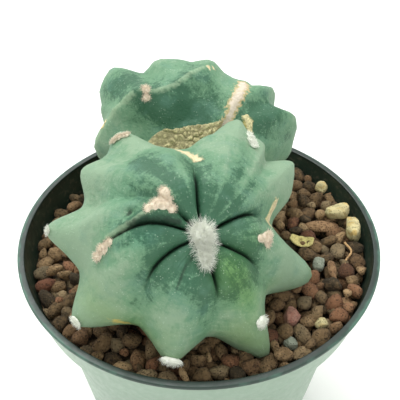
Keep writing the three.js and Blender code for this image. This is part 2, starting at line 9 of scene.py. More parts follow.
import bmesh
import bpy
import numpy as np
from bpy.props import FloatProperty, FloatVectorProperty, IntProperty, PointerProperty
from mathutils import Matrix, Vector, noise

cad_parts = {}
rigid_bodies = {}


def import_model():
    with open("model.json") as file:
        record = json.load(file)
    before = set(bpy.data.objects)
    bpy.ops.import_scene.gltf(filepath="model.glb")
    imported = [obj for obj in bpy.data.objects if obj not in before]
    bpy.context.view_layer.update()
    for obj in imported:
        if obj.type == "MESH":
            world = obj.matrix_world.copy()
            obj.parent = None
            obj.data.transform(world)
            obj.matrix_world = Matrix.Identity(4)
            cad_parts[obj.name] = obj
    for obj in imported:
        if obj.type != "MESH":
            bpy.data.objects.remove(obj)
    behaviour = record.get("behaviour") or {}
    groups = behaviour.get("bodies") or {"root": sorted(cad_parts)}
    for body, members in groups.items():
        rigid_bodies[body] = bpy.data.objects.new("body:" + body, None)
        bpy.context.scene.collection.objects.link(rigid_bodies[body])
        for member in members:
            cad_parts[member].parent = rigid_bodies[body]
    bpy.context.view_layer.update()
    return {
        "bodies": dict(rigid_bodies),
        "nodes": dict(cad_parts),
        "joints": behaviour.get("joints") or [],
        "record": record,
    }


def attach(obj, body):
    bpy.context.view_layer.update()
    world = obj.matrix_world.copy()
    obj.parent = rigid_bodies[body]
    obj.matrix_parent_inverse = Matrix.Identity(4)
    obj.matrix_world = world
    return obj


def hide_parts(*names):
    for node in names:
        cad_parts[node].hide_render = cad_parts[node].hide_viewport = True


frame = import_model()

bl_info = {
    "name": "Potted barrel cactus",
    "version": (1, 0, 0),
    "blender": (4, 5, 0),
    "location": "View3D > Sidebar > Cactus",
    "description": "Makes a two-headed barrel cactus in its pot around the packed frame",
    "category": "Add Mesh",
}

MM = 0.001
BODY = "root"

# Pot, in millimetres
POT_HEIGHT = 92
RIM_RADIUS = 60
LIP_HEIGHT = 1.6
LIP_WIDTH = 2.3
LIP_ROUND = 0.6
COLLAR_HEIGHT = 14
COLLAR_TOP_RADIUS = 58.6
COLLAR_FOOT_RADIUS = 56.4
BODY_TOP_RADIUS = 51.5
BODY_FOOT_RADIUS = 40.4
WALL = 1.2
FOOT_RING_WIDTH = 3
FOOT_RING_HEIGHT = 2
DRAIN_HOLES = 6
DRAIN_HOLE_RADIUS = 4
DRAIN_CIRCLE_RADIUS = 25
DRAIN_HOLE_SIDES = 24
DRILL_DEPTH = 12
COLLAR_FOOT = POT_HEIGHT - COLLAR_HEIGHT
LIP_FOOT = POT_HEIGHT - LIP_HEIGHT

# The two heads, in millimetres and degrees: polar from the crown, azimuth round the head's axis.
# A rib's furrow and crest are given near the crown and at the side, where the ribs have swung round.
YOUNG_HEAD = {
    "centre": (-6, -19, 106),
    "crown": (1.2, -34.3, 125),
    "dome": [(0, 24.5), (12, 25.5), (35, 29.5), (60, 31.5), (90, 30.5), (120, 27), (150, 24), (180, 23)],
    "valley_depth": [(0, 0), (12, 0.7), (30, 1.4), (46, 1.2), (64, 0.4), (75, 0), (180, 0)],
    "crease_depth": [(0, 0), (8, 1.3), (20, 2.6), (45, 2.2), (62, 1.4), (180, 0)],
    "web_depth": [(0, 0), (30, 0), (60, 3), (85, 4.6), (110, 5), (150, 1), (180, 0)],
    "crest_sharpness": 1.5,
    "ribs": [
        {"furrow": (32, 9), "crest": (38, 36), "crease_to": 46},
        {"furrow": (44, 45), "crest": (51, 51), "starts_at": 45, "depth": 0.7},
        {"furrow": (60, 58), "crest": (72, 66), "starts_at": 55, "depth": 0.7},
        {"furrow": (97, 86), "crest": (105, 115), "crease_to": 47},
        {"furrow": (114, 129), "crest": (122, 143), "starts_at": 50, "depth": 0.35},
        {"furrow": (134, 160), "crest": (147, 175), "crease_to": 24},
        {"furrow": (160, 196), "crest": (184, 217), "depth": 0.5, "crease_to": 60},
        {"furrow": (204, 243), "crest": (244, 264), "crease_to": 46},
        {"furrow": (290, 281), "crest": (314, 308), "crease_to": 40},
        {"furrow": (342, 328), "crest": (367, 348), "crease_to": 45},
    ],
    "tubercles": [
        {"at": (100, 173), "high": 10.2, "wide": 13, "long": 14},
        {"at": (97, 217), "high": 8.5, "wide": 12, "long": 14},
        {"at": (76, 264), "high": 4.6, "wide": 14, "long": 14},
        {"at": (81, 307), "high": 11.2, "wide": 9.5, "long": 14},
        {"at": (87, 348), "high": 13, "wide": 13, "long": 15},
        {"at": (87.5, 37.5), "high": 14.2, "wide": 10, "long": 18},
        {"at": (68, 17), "high": -1.6, "wide": 7, "long": 12},
        {"at": (79, 56), "high": 5.5, "wide": 6.5, "long": 9},
        {"at": (90, 65), "high": 12.5, "wide": 9.5, "long": 18},
        {"at": (99, 118), "high": 9.4, "wide": 10.5, "long": 13},
        {"at": (101, 141), "high": 6.6, "wide": 12, "long": 16},
        {"at": (45, 162), "high": -2.6, "wide": 3.6, "long": 5},
        {"at": (80, 24), "high": 5, "wide": 7, "long": 9},
        {"at": (76, 81), "high": 4, "wide": 8, "long": 12},
    ],
    "ridges": [
        {"wide": 3.4, "path": [(30, 152, 1.4), (36, 163, 2), (46, 174, 1.8), (60, 186, 0.6)]},
        {"wide": 0.9, "path": [(12, 240, -0.4), (22, 244, -0.9), (34, 247, -0.2)]},
    ],
    "columns_per_rib": 22,
    "rows": 170,
}
OLD_STEM = {
    "centre": (-1, 27, 105.5),
    "crown": (-2.5, 16.5, 119.5),
    "dome": [(0, 17), (20, 18), (34, 21.5), (48, 25), (120, 25), (180, 31)],
    "girth": [
        (2, 31), (16, 34), (26, 32.6), (37, 34.6), (46, 30.2), (58, 30.2), (66, 30.4), (80, 32.4), (90, 33),
        (99, 34), (114, 34.4), (123, 34.5), (136, 41.6), (147, 41), (156, 38), (167, 34.2), (180, 33.6),
        (200, 30), (222, 33), (245, 29), (268, 33), (290, 29), (315, 33), (340, 29),
    ],
    "girth_from": (28, 76),
    "taper": [(0, 0), (82, 0), (112, 4), (140, 7.5), (180, 8)],
    "valley_depth": [(0, 0), (180, 0)],
    "crease_depth": [(0, 0), (180, 0)],
    "web_depth": [(0, 0), (50, 0), (85, 2.4), (120, 3.6), (150, 1.5), (180, 0)],
    "crest_sharpness": 1.4,
    "ribs": [
        {"furrow": (-10, -10), "crest": (16, 16)},
        {"furrow": (26, 26), "crest": (37, 37)},
        {"furrow": (60, 60), "crest": (80, 80)},
        {"furrow": (92, 92), "crest": (114, 114)},
        {"furrow": (124, 124), "crest": (137, 137)},
        {"furrow": (160, 160), "crest": (180, 180)},
        {"furrow": (200, 200), "crest": (222, 222)},
        {"furrow": (245, 245), "crest": (268, 268)},
        {"furrow": (290, 290), "crest": (315, 315)},
    ],
    "tubercles": [
        {"at": (104, 17), "high": 2.6, "wide": 9, "long": 10},
        {"at": (106, 80), "high": 2, "wide": 9, "long": 11},
        {"at": (106, 113), "high": 2, "wide": 9, "long": 11},
        {"at": (104, 139), "high": 2.6, "wide": 9, "long": 10},
        {"at": (104, 180), "high": 2.4, "wide": 9, "long": 10},
        {"at": (92, 0), "high": 4.5, "wide": 13, "long": 12},
    ],
    "ridges": [
        {"wide": 7, "path": [(39, 141, 5), (37.5, 120, 5.2), (38, 102, 5), (43, 90, 4.4), (50, 79, 3.6), (60, 74, 2)]},
        {"wide": 9, "path": [(48, 108, 1.5), (58, 112, 2.5), (80, 114, 0)]},
        {"wide": 6, "path": [(39, 141, 5), (45, 154, 4.6), (56, 166.5, 4), (67, 178, 3), (84, 184, 1)]},
        {"wide": 5, "path": [(30, 28, 2.5), (50, 44, 2.2), (84, 54, 0.6)]},
        {"wide": 7, "path": [(57, 43, 0.2), (62, 35, 0.8), (66, 17, 2.5), (77, 13, 2.5), (95, 16, 0)]},
    ],
    "columns_per_rib": 16,
    "rows": 140,
}
HEADS = {"young": YOUNG_HEAD, "old": OLD_STEM}
RIDGE_ROUND = 2
LATE_FURROW_OPENS_OVER = 25
RIBS_SWING_BETWEEN = (10, 85)
VALLEY_FULLNESS = 2.4
CREASE_WIDTH = 0.55
CREASE_ENDS_OVER = 14
CREST_ROUND = 0.2
TUBERCLE_POINT = 1.4
TUBERCLE_ROUND = 0.2
RIB_REACH = 28
ROW_SPREAD = 1.15
COLUMN_SPREAD = 1.5

# Waves of the skin, and the share of their height by which the skin is sunk, so that they stay inside the solid
WAVE_LENGTH = 7
SMALL_WAVE_LENGTH = 2.2
SMALL_WAVE_SHARE = 0.35
RELIEF_SINK = 0.5
FEWEST_SKIN_FACES = 1000

# The corked growing point of the old stem: it ends along a line across the crown, and within a reach
SCAR_EDGE = [(-40, -6), (-34, 2.5), (-25, 9.5), (-11, 12.7), (-1, 15), (15, 16.4), (27, 13.4), (40, 6)]
SCAR_REACH = 38
SCAR_EDGE_FADE = 1.5
SCAR_REACH_FADE = 5
SCAR_GRAIN_SIZE = 1.7
SCAR_GRAIN_STEEPNESS = 1.6
SCAR_GRAIN_SINK = 0.35

# Marks on the skin of each head: kind, half width in degrees, and a path of polar and azimuth; the dark and groove
# marks are painted shade, on a face under a crest, in a pit and in a groove
SKIN_MARKS = {
    "young": [
        ("pale", 1, [(31, 156), (35, 162), (40, 169), (47, 175.5), (55, 181)]),
        ("dark", 2.6, [(17, 150), (25, 160), (33, 166), (41, 172)]),
        ("cream", 2.6, [(63, 98), (60.5, 94.5), (57, 90.5), (53, 88)]),
        ("cork", 2, [(54, 14), (57, 17), (59, 21), (61, 25)]),
        ("cream", 2.2, [(56, 12), (60, 18), (63, 24)]),
        ("groove", 0.9, [(10, 252), (12, 247), (20.6, 241), (27, 242), (33, 245)]),
        ("yellow", 2.6, [(80, 229), (83, 236)]),
        ("dark", 1.6, [(45, 160.5), (45.5, 163)]),
    ],
    "old": [
        ("strip", 4.2,
         [(31, 21), (34, 24), (36, 27.9), (39, 32.9), (42, 37.4), (46.7, 41.6), (52, 44.8), (58, 47.6)]),
        ("cork", 1.6, [(44.5, 20), (45.6, 11), (46.1, 1)]),
        ("yellow", 2.2, [(44.5, 16), (44.6, 11)]),
        ("cream", 0.8, [(50, 78), (55, 73)]),
        ("pale", 1, [(38, 136), (37.6, 120), (38.2, 102), (43, 90), (50, 79)]),
        ("pale", 1.2, [(40, 144), (45, 154), (56, 166.5), (67, 178)]),
        ("cork", 1.2, [(58, 167), (61, 171)]),
    ],
}
MARK_KINDS = ("cork", "strip", "cream", "pale", "yellow", "dark", "groove")
MARK_ROUND = 0.6

# Broad patches of darker or paler skin, partly the skin's own mottling and partly painted shade on hollows and shaded
# faces and painted light on lit lobes: polar, azimuth, spread in degrees and change
SKIN_TONES_AND_SHADE = {
    "young": [
        (0, 0, 26, -0.3), (36, 167, 9, -0.35), (89, 176, 10, -0.3), (70, 171, 9, 0.2),
        (43, 306, 12, -0.35), (30, 298, 10, -0.1), (100, 121, 12, -0.3), (91, 128, 9, -0.15),
        (66, 65, 14, -0.2), (61, 76, 8, 0.15), (76, 357, 8, 0.2), (52, 114, 14, -0.25),
        (78, 262, 12, -0.2), (22, 255, 12, -0.15), (24, 130, 12, -0.12), (79, 189, 12, 0.3),
        (46, 252, 10, 0.33), (25, 302, 8, 0.15), (50, 296, 11, 0.3), (48, 344, 10, 0.2),
        (71, 347, 11, 0.25), (57, 131, 10, -0.3), (78, 188, 13, 0.22), (71, 347, 12, 0.35),
        (52, 296, 11, 0.22),
    ],
    "old": [
        (27, 105, 15, -0.5), (34, 144, 6, -0.5), (25, 145, 9, -0.3), (30, 60, 12, -0.4),
        (60, 140, 13, -0.4), (45, 104, 6, 0.2), (56, 90, 6, -0.25), (57, 21, 12, -0.3), (80, 5, 10, -0.2),
        (46, 8, 9, -0.3), (70, 160, 10, 0.1), (50, 142, 9, -0.25), (55, 15, 10, -0.2),
        (64, 20, 14, -0.22), (76, 2, 12, -0.15), (45, 70, 9, -0.12), (60, 165, 9, 0.2),
        (36, 128, 5, -0.3),
    ],
}

# Broad patches of greener skin above 0 and bluer skin below 0, given in the same way
SKIN_HUES = {
    "young": [
        (26, 308, 14, 1), (45, 312, 10, 0.5), (33, 182, 11, -0.9), (32, 204, 9, 0.5), (28, 250, 13, -0.5),
        (24, 100, 16, -0.35), (58, 150, 13, -0.4), (75, 215, 16, 0.4), (76, 240, 14, 0.5),
        (66, 296, 14, 0.5), (30, 0, 12, 0.3),
    ],
    "old": [
        (27, 105, 20, -0.5), (46, 8, 14, -0.35),
    ],
}

# What the skin's finish reads: the old stem's age as degrees from a young crown, how much of its crests
# shows, how wide and strong the painted shade along a fold is, how strongly tubercles get a painted highlight,
# between which heights the lobes turn green, and how far the streaks' coordinates run
OLD_AGE = 36
OLD_AGE_PER_DEGREE = 0.4
OLD_CREST = 0.4
OLD_CRESTS_SHOW_BETWEEN = (50, 85)
FOLD_SHADE_LINES = [(0.75, 0.5), (0.3, 1.6)]
FULL_HIGHLIGHT_HEIGHT = 12
TUBERCLE_HIGHLIGHT_STRENGTH = 0.42
GREEN_BETWEEN = (125, 75)
STREAK_RING = 14
STREAK_RISE = 13.6
STREAKS_APART = 80

# Root, hidden in the grit
ROOT_MIDDLE = (-2, 20)
ROOT_SIDES = 40
ROOT_PROFILE = [(0, 44), (2.5, 45), (5, 52), (8, 64), (12, 74), (15, 82), (13, 92), (0, 92)]

# Wool tufts of each head, named as their CAD nodes: pads as polar, azimuth, width, length and height
TUFTS = {
    "young": {
        "crown": [
            (2, 110, 6.2, 6, 2.5), (7, 284, 5.8, 6, 2.2), (12.5, 279, 4.4, 5, 2),
            (16.5, 277, 2.4, 3, 1.3),
        ],
        "shoulder": [
            (32.5, 132.5, 2.8, 3.4, 1.3), (30, 137, 3.6, 3.8, 1.5), (31, 149, 3.8, 2.8, 1.3),
            (33, 156, 2.4, 2, 0.9), (24.5, 140.5, 2.8, 2.6, 1.2), (28.5, 144, 3.6, 3.4, 1.6),
        ],
        "left_slope": [(54, 184, 2.2, 3, 0.9), (58, 187.6, 2.9, 3.6, 1.2), (62.5, 191, 2.6, 3.4, 1.1)],
        "right_slope": [
            (40, 0.8, 3.6, 3.6, 1.3), (43, 4.6, 2.2, 2.2, 0.9), (41, 356.5, 2.4, 2.4, 0.9),
            (35, 0, 2.2, 3, 0.9),
        ],
        "left_tip": [(94, 175, 2.4, 2.6, 0.5)],
        "lower_left_tip": [(91, 217, 3.8, 3, 0.8)],
        "front_tip": [(73, 262, 6.4, 3.4, 1.6)],
        "lower_right": [(61, 311, 3.8, 4.2, 1.8)],
        "upper_right": [(75.5, 59.6, 2.4, 3, 1), (73, 58, 3, 3.2, 1.2), (70.5, 56.4, 2.4, 3, 0.9)],
        "upper_left": [
            (92.5, 122.5, 2.4, 2.6, 0.8), (91, 120, 2.8, 2.6, 0.9), (89.5, 117.2, 2.4, 2.4, 0.8),
        ],
    },
    "old": {
        "old_stem": [(38, 134, 2.6, 3, 1.5), (36, 139, 2.4, 2.8, 1.3)],
    },
}
WOOL_PAD_HEIGHT = 0.62
PAD_STEP = 1.5
FELT_VOXEL = 0.22
HAIRS_ON_CROWN, HAIRS_ON_TUFT = 900, 260
CROWN_FAN, TUFT_FAN = 82, 60
AGED_TUFTS = ("shoulder", "right_slope", "upper_left", "old_stem", "left_slope")

# Loose stones: middle, size, turn about Z in degrees, how round, and which rock
LOOSE_STONES = {
    "pumice_slab": {"middle": (49, 13.8, 89.1), "size": (9.8, 5.4, 6.4), "turn": 20,
                    "round": 0.3, "rock": "pumice"},
    "pumice_block": {"middle": (52.9, 5.2, 88.9), "size": (5.2, 9.6, 7.8), "turn": 6,
                     "round": 0.3, "rock": "pumice"},
    "pumice_pebble": {"middle": (44.9, 28.7, 88), "size": (5, 4.6, 5), "turn": 30,
                      "round": 0.8, "rock": "pumice"},
    "pink_stone": {"middle": (28.8, -30.2, 86), "size": (5.2, 7, 5.2), "turn": -28,
                   "round": 0.6, "rock": "pink"},
    "yellow_pebble": {"middle": (37.6, -33.2, 85.8), "size": (4.2, 4.4, 4.6), "turn": 10,
                      "round": 0.9, "rock": "pumice"},
    "grey_pebble": {"middle": (27.6, -40.2, 85.4), "size": (4.4, 4, 4.4), "turn": 0,
                    "round": 0.9, "rock": "grey"},
    "grey_chip": {"middle": (39.7, -8.7, 86.8), "size": (4, 4.6, 4.4), "turn": -16,
                  "round": 0.3, "rock": "grey"},
}
FIRST_STONE_SEED = 3
STONE_FACES = 9
STONE_EDGE_POWER = 9
ROOTLET_ROUTE = [(49.2, -0.8, 88.9), (50.9, -4.7, 88.6), (48.6, -8.4, 88.1), (47.8, -13.2, 87.6)]
ROOTLET_RADIUS = 0.45
ROOTLET_STEPS = 40
ROOTLET_SIDES = 8
HUSK_THICKNESS = 0.5
HUSK = {"middle": (34.9, 0.8, 87.2), "size": (7.4, 4.6, 0.9), "turn": -18, "curl": 1.9}

# Grit: how it rises towards +X, how far its grains reach, and the plain bed under them
GRIT_TILT = 0.03
GRIT_REACH = 56.3
BED_TOP = 81.4
BED_GAP = 0.35
BED_TOP_GAP = 0.2
BED_SIDES = 96

# Layers of grains: height, its spread, how many are tried, how close they pack, and if they leave room for litter
GRIT_LAYERS = [(84.7, 1.6, 26000, 0.84, True), (82, 1.2, 12000, 0.8, False)]
CLEAR_OF_SKIN = 0.35
CLEAR_OF_LITTER = 0.82
GRAIN_FACES = 9
GRAIN_EDGE_POWER = 13
GRAIN_SQUEEZE = [(1, 0.45), (0.78, 0.3), (0.66, 0.24)]
GRAIN_TILTS = 70
GRAIN_GAP = 0.3

# Long stones that stand out in the grit: place, size, turn in degrees, shade from 0 dark to 1 light
MARKED_STONES = [
    ((42, 9, 87.3), (11.5, 4.6, 3.6), -12, 0.8),
    ((43.6, -11.6, 86.9), (3.6, 10.5, 3.6), 4, 0.7),
    ((39.2, -0.9, 87.1), (6.2, 5, 3.4), -28, 0.55),
    ((44.6, 1.8, 87.2), (5.6, 4.6, 4), 6, 0.35),
    ((33.4, 7.4, 86.8), (5, 3.6, 3.2), 20, 0.02),
    ((28.8, 9.8, 86.8), (3.4, 4.2, 3.4), 0, 0.95),
    ((49.6, -16.4, 87), (4.2, 6.2, 3.4), -12, 0.62),
    ((-4.3, -51.6, 86.1), (2.6, 6, 2.4), 24, 0.98),
    ((3, -45.7, 86), (1.6, 4.4, 1.8), 4, 0.95),
    ((47.2, -21.8, 87), (2.8, 2.8, 2.8), 10, 1.25),
    ((-48, -9.5, 84.8), (5.6, 4.6, 3.8), 30, 0.7),
    ((-22.4, -48.7, 85.4), (6.6, 4.4, 3.8), 8, 0.86),
]
REDDER_MARKED_STONES = 2

# Camera, where the lamps stand in metres, how large they are, and their share of the lamp power
CAMERA_PLACE = (0.36, -172.82, 261.52)
CAMERA_DOWN = 41.71481
CAMERA_LENS = 64.8
SENSOR_WIDTH = 36
LAMPS = [("soft_box", (-0.16, 0.28, 0.75), 0.5, 4), ("fill_box", (0.35, -0.5, 0.45), 0.5, 0.5)]
LAMPS_AIM_AT = (0, 0, 0.09)


def linear(red, green, blue):
    """A colour given as 0 to 255 on screen, as the linear values that a shader takes."""
    def one(value):
        value /= 255
        return value / 12.92 if value <= 0.04045 else ((value + 0.055) / 1.055) ** 2.4
    return (one(red), one(green), one(blue))


def colour_property(name, description, *screen):
    return FloatVectorProperty(
        name=name, description=description, default=linear(*screen), subtype="COLOR", size=3, min=0, max=1)


def length_property(name, description, millimetres):
    return FloatProperty(
        name=name, description=description, default=millimetres * MM, min=0, unit="LENGTH", precision=5)


class PotSettings(bpy.types.PropertyGroup):
    outside: colour_property("Outside", "Plastic of the outer wall", 143, 167, 147)
    lip: colour_property("Lip", "Plastic of the rolled lip", 56, 86, 73)
    # The inner wall's colour is painted shade, far darker than the lip, as the inside of the pot lies in shade
    inside: colour_property("Inside", "Plastic of the inner wall", 30, 46, 36)
    corner_round: length_property("Corner round", "Radius of the moulded corners", 0.5)
    sides: IntProperty(name="Sides", description="Steps round the pot", default=160, min=24, max=400)


class GritSettings(bpy.types.PropertyGroup):
    dark: colour_property("Dark grain", "Darkest grains of lava", 56, 46, 28)
    brown: colour_property("Brown grain", "Most grains of lava", 118, 95, 64)
    light: colour_property("Light grain", "Lightest grains of lava", 178, 148, 108)
    smallest: length_property("Smallest grain", "Radius of the smallest grain", 1.4)
    largest: length_property("Largest grain", "Radius of the largest grain", 2.9)
    seed: IntProperty(name="Seed", description="Which arrangement of grains", default=7, min=0)


class CactusSettings(bpy.types.PropertyGroup):
    bloom: colour_property("Bloom", "Waxy bloom on crests and old skin", 130, 157, 129)
    skin: colour_property("Skin", "Skin of the flanks", 100, 140, 108)
    young_skin: colour_property("Young skin", "Skin near the growing point", 54, 96, 70)
    # Colour of the painted shade in the creases, on the dark marks and in the groove
    fold: colour_property("Fold", "Skin deep in the folds", 18, 40, 26)
    cork: colour_property("Cork", "Corked tissue", 232, 222, 168)
    relief: length_property("Relief", "Height of the waves in the skin", 0.32)
    grain_height: length_property("Scar grains", "Height of the cork grains on the scar", 1.1)


class WoolSettings(bpy.types.PropertyGroup):
    white: colour_property("Wool", "Colour of fresh wool", 252, 254, 248)
    aged: colour_property("Aged wool", "Colour of old wool", 236, 226, 204)
    hair_radius: length_property("Hair radius", "Radius of one hair at its root", 0.045)
    crown_hair: length_property("Crown hair", "Length of the crown's hairs", 2.3)
    tuft_hair: length_property("Tuft hair", "Length of the other tufts' hairs", 1.0)
    seed: IntProperty(name="Seed", description="Which arrangement of hairs", default=31, min=0)


class LitterSettings(bpy.types.PropertyGroup):
    pumice: colour_property("Pumice", "Colour of the pumice", 208, 196, 146)
    pink: colour_property("Pink stone", "Colour of the pink stone", 186, 140, 122)
    grey: colour_property("Grey stone", "Colour of the grey stones", 150, 158, 140)
    rootlet: colour_property("Rootlet", "Colour of the dead rootlet", 198, 160, 110)
    husk: colour_property("Husk", "Colour of the dry husk", 218, 206, 136)


class StageSettings(bpy.types.PropertyGroup):
    floor: colour_property("Floor", "Colour of the floor", 250, 250, 248)
    sky_strength: FloatProperty(name="Sky", description="Strength of the even light", default=1.0, min=0)
    lamp_power: FloatProperty(name="Lamp", description="Power of the soft box in watts", default=1.2, min=0)


SETTINGS = {
    "pot": PotSettings, "grit": GritSettings, "cactus": CactusSettings, "wool": WoolSettings,
    "litter": LitterSettings, "stage": StageSettings,
}


def settings(name):
    return getattr(bpy.context.scene, "cactus_" + name)


# Smooth curves through given points
def smooth_step(start, end, x):
    t = np.clip((x - start) / (end - start), 0, 1)
    return t * t * (3 - 2 * t)


def curve_at(points, x):
    value = np.full_like(x, points[0][1], dtype=float)
    for (start, low), (end, high) in zip(points, points[1:]):
        value = np.where(x >= start, low + (high - low) * smooth_step(start, end, x), value)
    return value


def ring_curve_at(points, angle):
    (first_angle, first), (last_angle, last) = points[0], points[-1]
    ring = [(last_angle - 360, last), *points, (first_angle + 360, first)]
    return curve_at(ring, np.mod(angle, 360))


def direction(polar, azimuth):
    polar, azimuth = np.radians(polar), np.radians(azimuth)
    return np.stack([np.sin(polar) * np.cos(azimuth), np.sin(polar) * np.sin(azimuth),
                     np.cos(polar) + 0 * azimuth], -1)


def head_frame(head):
    centre = np.array(head["centre"], float)
    axis = np.array(head["crown"], float) - centre
    axis /= np.linalg.norm(axis)
    right = np.array([1.0, 0, 0]) - axis[0] * axis
    right /= np.linalg.norm(right)
    return centre, np.column_stack([right, np.cross(axis, right), axis])


def swung(edges, polar):
    at_crown, at_side = edges
    return at_crown + (at_side - at_crown) * smooth_step(*RIBS_SWING_BETWEEN, polar)


def rib_edges(head, polar, rib):
    """Azimuths of a rib's first furrow, its crest and the furrow after it."""
    ribs = head["ribs"]
    following = (rib + 1) % len(ribs)
    lap = 0 if following else 360
    return (swung(ribs[rib]["furrow"], polar), swung(ribs[rib]["crest"], polar),
            swung(ribs[following]["furrow"], polar) + lap, following)


def place_on_rib(head, polar, azimuth):
    """For each place: how far up it lies from the nearer furrow to the crest, 0 to 1, how deep that furrow is
    cut there, how much of a crease runs in it, and how many millimetres off it is."""
    up, cut, crease, off = (np.zeros_like(polar) for _ in range(4))
    found = np.zeros(polar.shape, bool)

    def share(rib):
        starts_at = head["ribs"][rib].get("starts_at")
        opened = smooth_step(starts_at, starts_at + LATE_FURROW_OPENS_OVER, polar) if starts_at else 1 + 0 * polar
        return opened * head["ribs"][rib].get("depth", 1)

    def crease_share(rib):
        ends_at = head["ribs"][rib].get("crease_to", -CREASE_ENDS_OVER)
        return 1 - smooth_step(ends_at - CREASE_ENDS_OVER, ends_at + CREASE_ENDS_OVER / 3, polar)

    for rib in range(len(head["ribs"])):
        start, crest, end, following = rib_edges(head, polar, rib)
        lapped = start + np.mod(azimuth - start + 1e-9, 360)
        rising = ~found & (lapped <= crest)
        falling = ~found & ~rising & (lapped < end)
        up = np.where(rising, (lapped - start) / (crest - start), up)
        up = np.where(falling, (end - lapped) / (end - crest), up)
        cut = np.where(rising, share(rib), cut)
        cut = np.where(falling, share(following), cut)
        crease = np.where(rising, crease_share(rib), crease)
        crease = np.where(falling, crease_share(following), crease)
        off = np.where(rising, lapped - start, off)
        off = np.where(falling, end - lapped, off)
        found |= rising | falling
    return up, cut, crease, np.radians(off) * RIB_REACH * np.sin(np.radians(polar))


def rounded(distance, radius):
    """A distance from a sharp crest or point, rounded off within the radius."""
    return np.hypot(distance, radius) - radius


def tubercle_height(tubercle, towards):
    polar, azimuth = tubercle["at"]
    middle, along = direction(polar, azimuth), direction(polar + 90, azimuth)
    across = np.cross(middle, along)
    off = np.hypot(np.degrees(towards @ across) / tubercle["wide"], np.degrees(towards @ along) / tubercle["long"])
    height = tubercle["high"] * np.exp(-rounded(off, TUBERCLE_ROUND) ** TUBERCLE_POINT)
    return np.where(towards @ middle > 0, height, 0)


def path_share(path, wide, towards, round_within):
    """For each direction, the height of a path with heights, fading with the angle from it."""
    best = np.zeros(towards.shape[:-1])
    for start, end in zip(path, path[1:]):
        first = direction(*start[:2])
        run = direction(*end[:2]) - first
        along = np.clip((towards - first) @ run / (run @ run), 0, 1)
        nearest = first + along[..., None] * run
        nearest /= np.linalg.norm(nearest, axis=-1, keepdims=True)
        degrees_off = np.degrees(np.linalg.norm(towards - nearest, axis=-1))
        off = rounded(degrees_off, round_within)
        value = (start[2] + (end[2] - start[2]) * along) * np.exp(-off / wide)
        best = np.where(np.abs(value) > np.abs(best), value, best)
    return best


def head_radius(head, polar, azimuth):
    radius = curve_at(head["dome"], polar)
    if "girth" in head:
        share = smooth_step(*head["girth_from"], polar) * (1 - smooth_step(150, 180, polar))
        radius = radius + share * (ring_curve_at(head["girth"], azimuth) - curve_at(head["taper"], polar) - radius)
    towards = direction(polar, azimuth)
    up, cut, crease, off = place_on_rib(head, polar, azimuth)
    down = np.clip(1 - up, 0, 1)
    radius = radius - curve_at(head["valley_depth"], polar) * cut * down ** VALLEY_FULLNESS
    radius = radius - curve_at(head["crease_depth"], polar) * crease * np.exp(-off / CREASE_WIDTH)
    from_crest = rounded(down, CREST_ROUND) / rounded(1, CREST_ROUND)
    radius = radius - curve_at(head["web_depth"], polar) * cut * (1 - (1 - from_crest) ** head["crest_sharpness"])
    for tubercle in head["tubercles"]:
        radius = radius + tubercle_height(tubercle, towards)
    for ridge in head["ridges"]:
        radius = radius + path_share(ridge["path"], ridge["wide"], towards, min(RIDGE_ROUND, ridge["wide"] / 2))
    return radius


def head_point(head, polar, azimuth):
    """Points on a head's skin, in millimetres."""
    polar, azimuth = np.asarray(polar, float), np.asarray(azimuth, float)
    centre, turn = head_frame(head)
    reach = head_radius(head, polar, azimuth)
    return (reach[..., None] * direction(polar, azimuth)) @ turn.T + centre


def head_place(head, points):
    """Polar, azimuth and distance from the head's centre of points in millimetres."""
    centre, turn = head_frame(head)
    local = (points - centre) @ turn
    reach = np.linalg.norm(local, axis=-1)
    polar = np.degrees(np.arccos(np.clip(local[..., 2] / np.maximum(reach, 1e-9), -1, 1)))
    return polar, np.degrees(np.arctan2(local[..., 1], local[..., 0])), reach


def is_inside_heads(points, margin):
    inside = np.zeros(len(points), bool)
    for head in HEADS.values():
        polar, azimuth, reach = head_place(head, points)
        inside |= reach < head_radius(head, polar, azimuth) + margin
    return inside


# Mesh helpers
def places_of(bm):
    return np.array([v.co for v in bm.verts], float).reshape(-1, 3)


def move_all(bm, places):
    for vertex, place in zip(bm.verts, places):
        vertex.co = place


def mesh_of(bm):
    mesh = bpy.data.meshes.new("shape")
    bm.to_mesh(mesh)
    bm.free()
    return mesh


def add_shape(bm, other):
    """Moves the shape in another bmesh into bm."""
    mesh = mesh_of(other)
    bm.from_mesh(mesh)
    bpy.data.meshes.remove(mesh)


def mesh_places(mesh):
    """The places of a mesh's points, in millimetres."""
    places = np.zeros(len(mesh.vertices) * 3)
    mesh.vertices.foreach_get("co", places)
    return places.reshape(-1, 3) / MM


def drawn_line(bm, profile, middle=(0, 0)):
    """Corners and edges along a profile of radius and height in millimetres."""
    corners = [bm.verts.new(((middle[0] + radius) * MM, middle[1] * MM, height * MM)) for radius, height in profile]
    for pair in zip(corners, corners[1:]):
        bm.edges.new(pair)
    return corners


def spun(bm, steps, middle=(0, 0)):
    """Turns the line in bm once round an upright axis and closes it there."""
    bmesh.ops.spin(bm, geom=bm.verts[:] + bm.edges[:], cent=(middle[0] * MM, middle[1] * MM, 0), axis=(0, 0, 1),
                   dvec=(0, 0, 0), angle=math.tau, steps=steps, use_merge=True, use_duplicate=False)
    bmesh.ops.remove_doubles(bm, verts=bm.verts[:], dist=1e-6)


def create_strand(bm, sides, tip, cuts):
    """A cone along Z, 1 long and 1 in radius at its root, cut across along its length."""
    bmesh.ops.create_cone(bm, cap_ends=True, segments=sides, radius1=1, radius2=tip, depth=1,
                          matrix=Matrix.Translation((0, 0, 0.5)))
    long_edges = [e for e in bm.edges if abs(e.verts[0].co.z - e.verts[1].co.z) > 0.5]
    bmesh.ops.subdivide_edges(bm, edges=long_edges, cuts=cuts)


def flat_turn(degrees):
    """The matrix that turns rows of places about Z."""
    angle = math.radians(degrees)
    return np.array([[math.cos(angle), math.sin(angle), 0], [-math.sin(angle), math.cos(angle), 0], [0, 0, 1]])


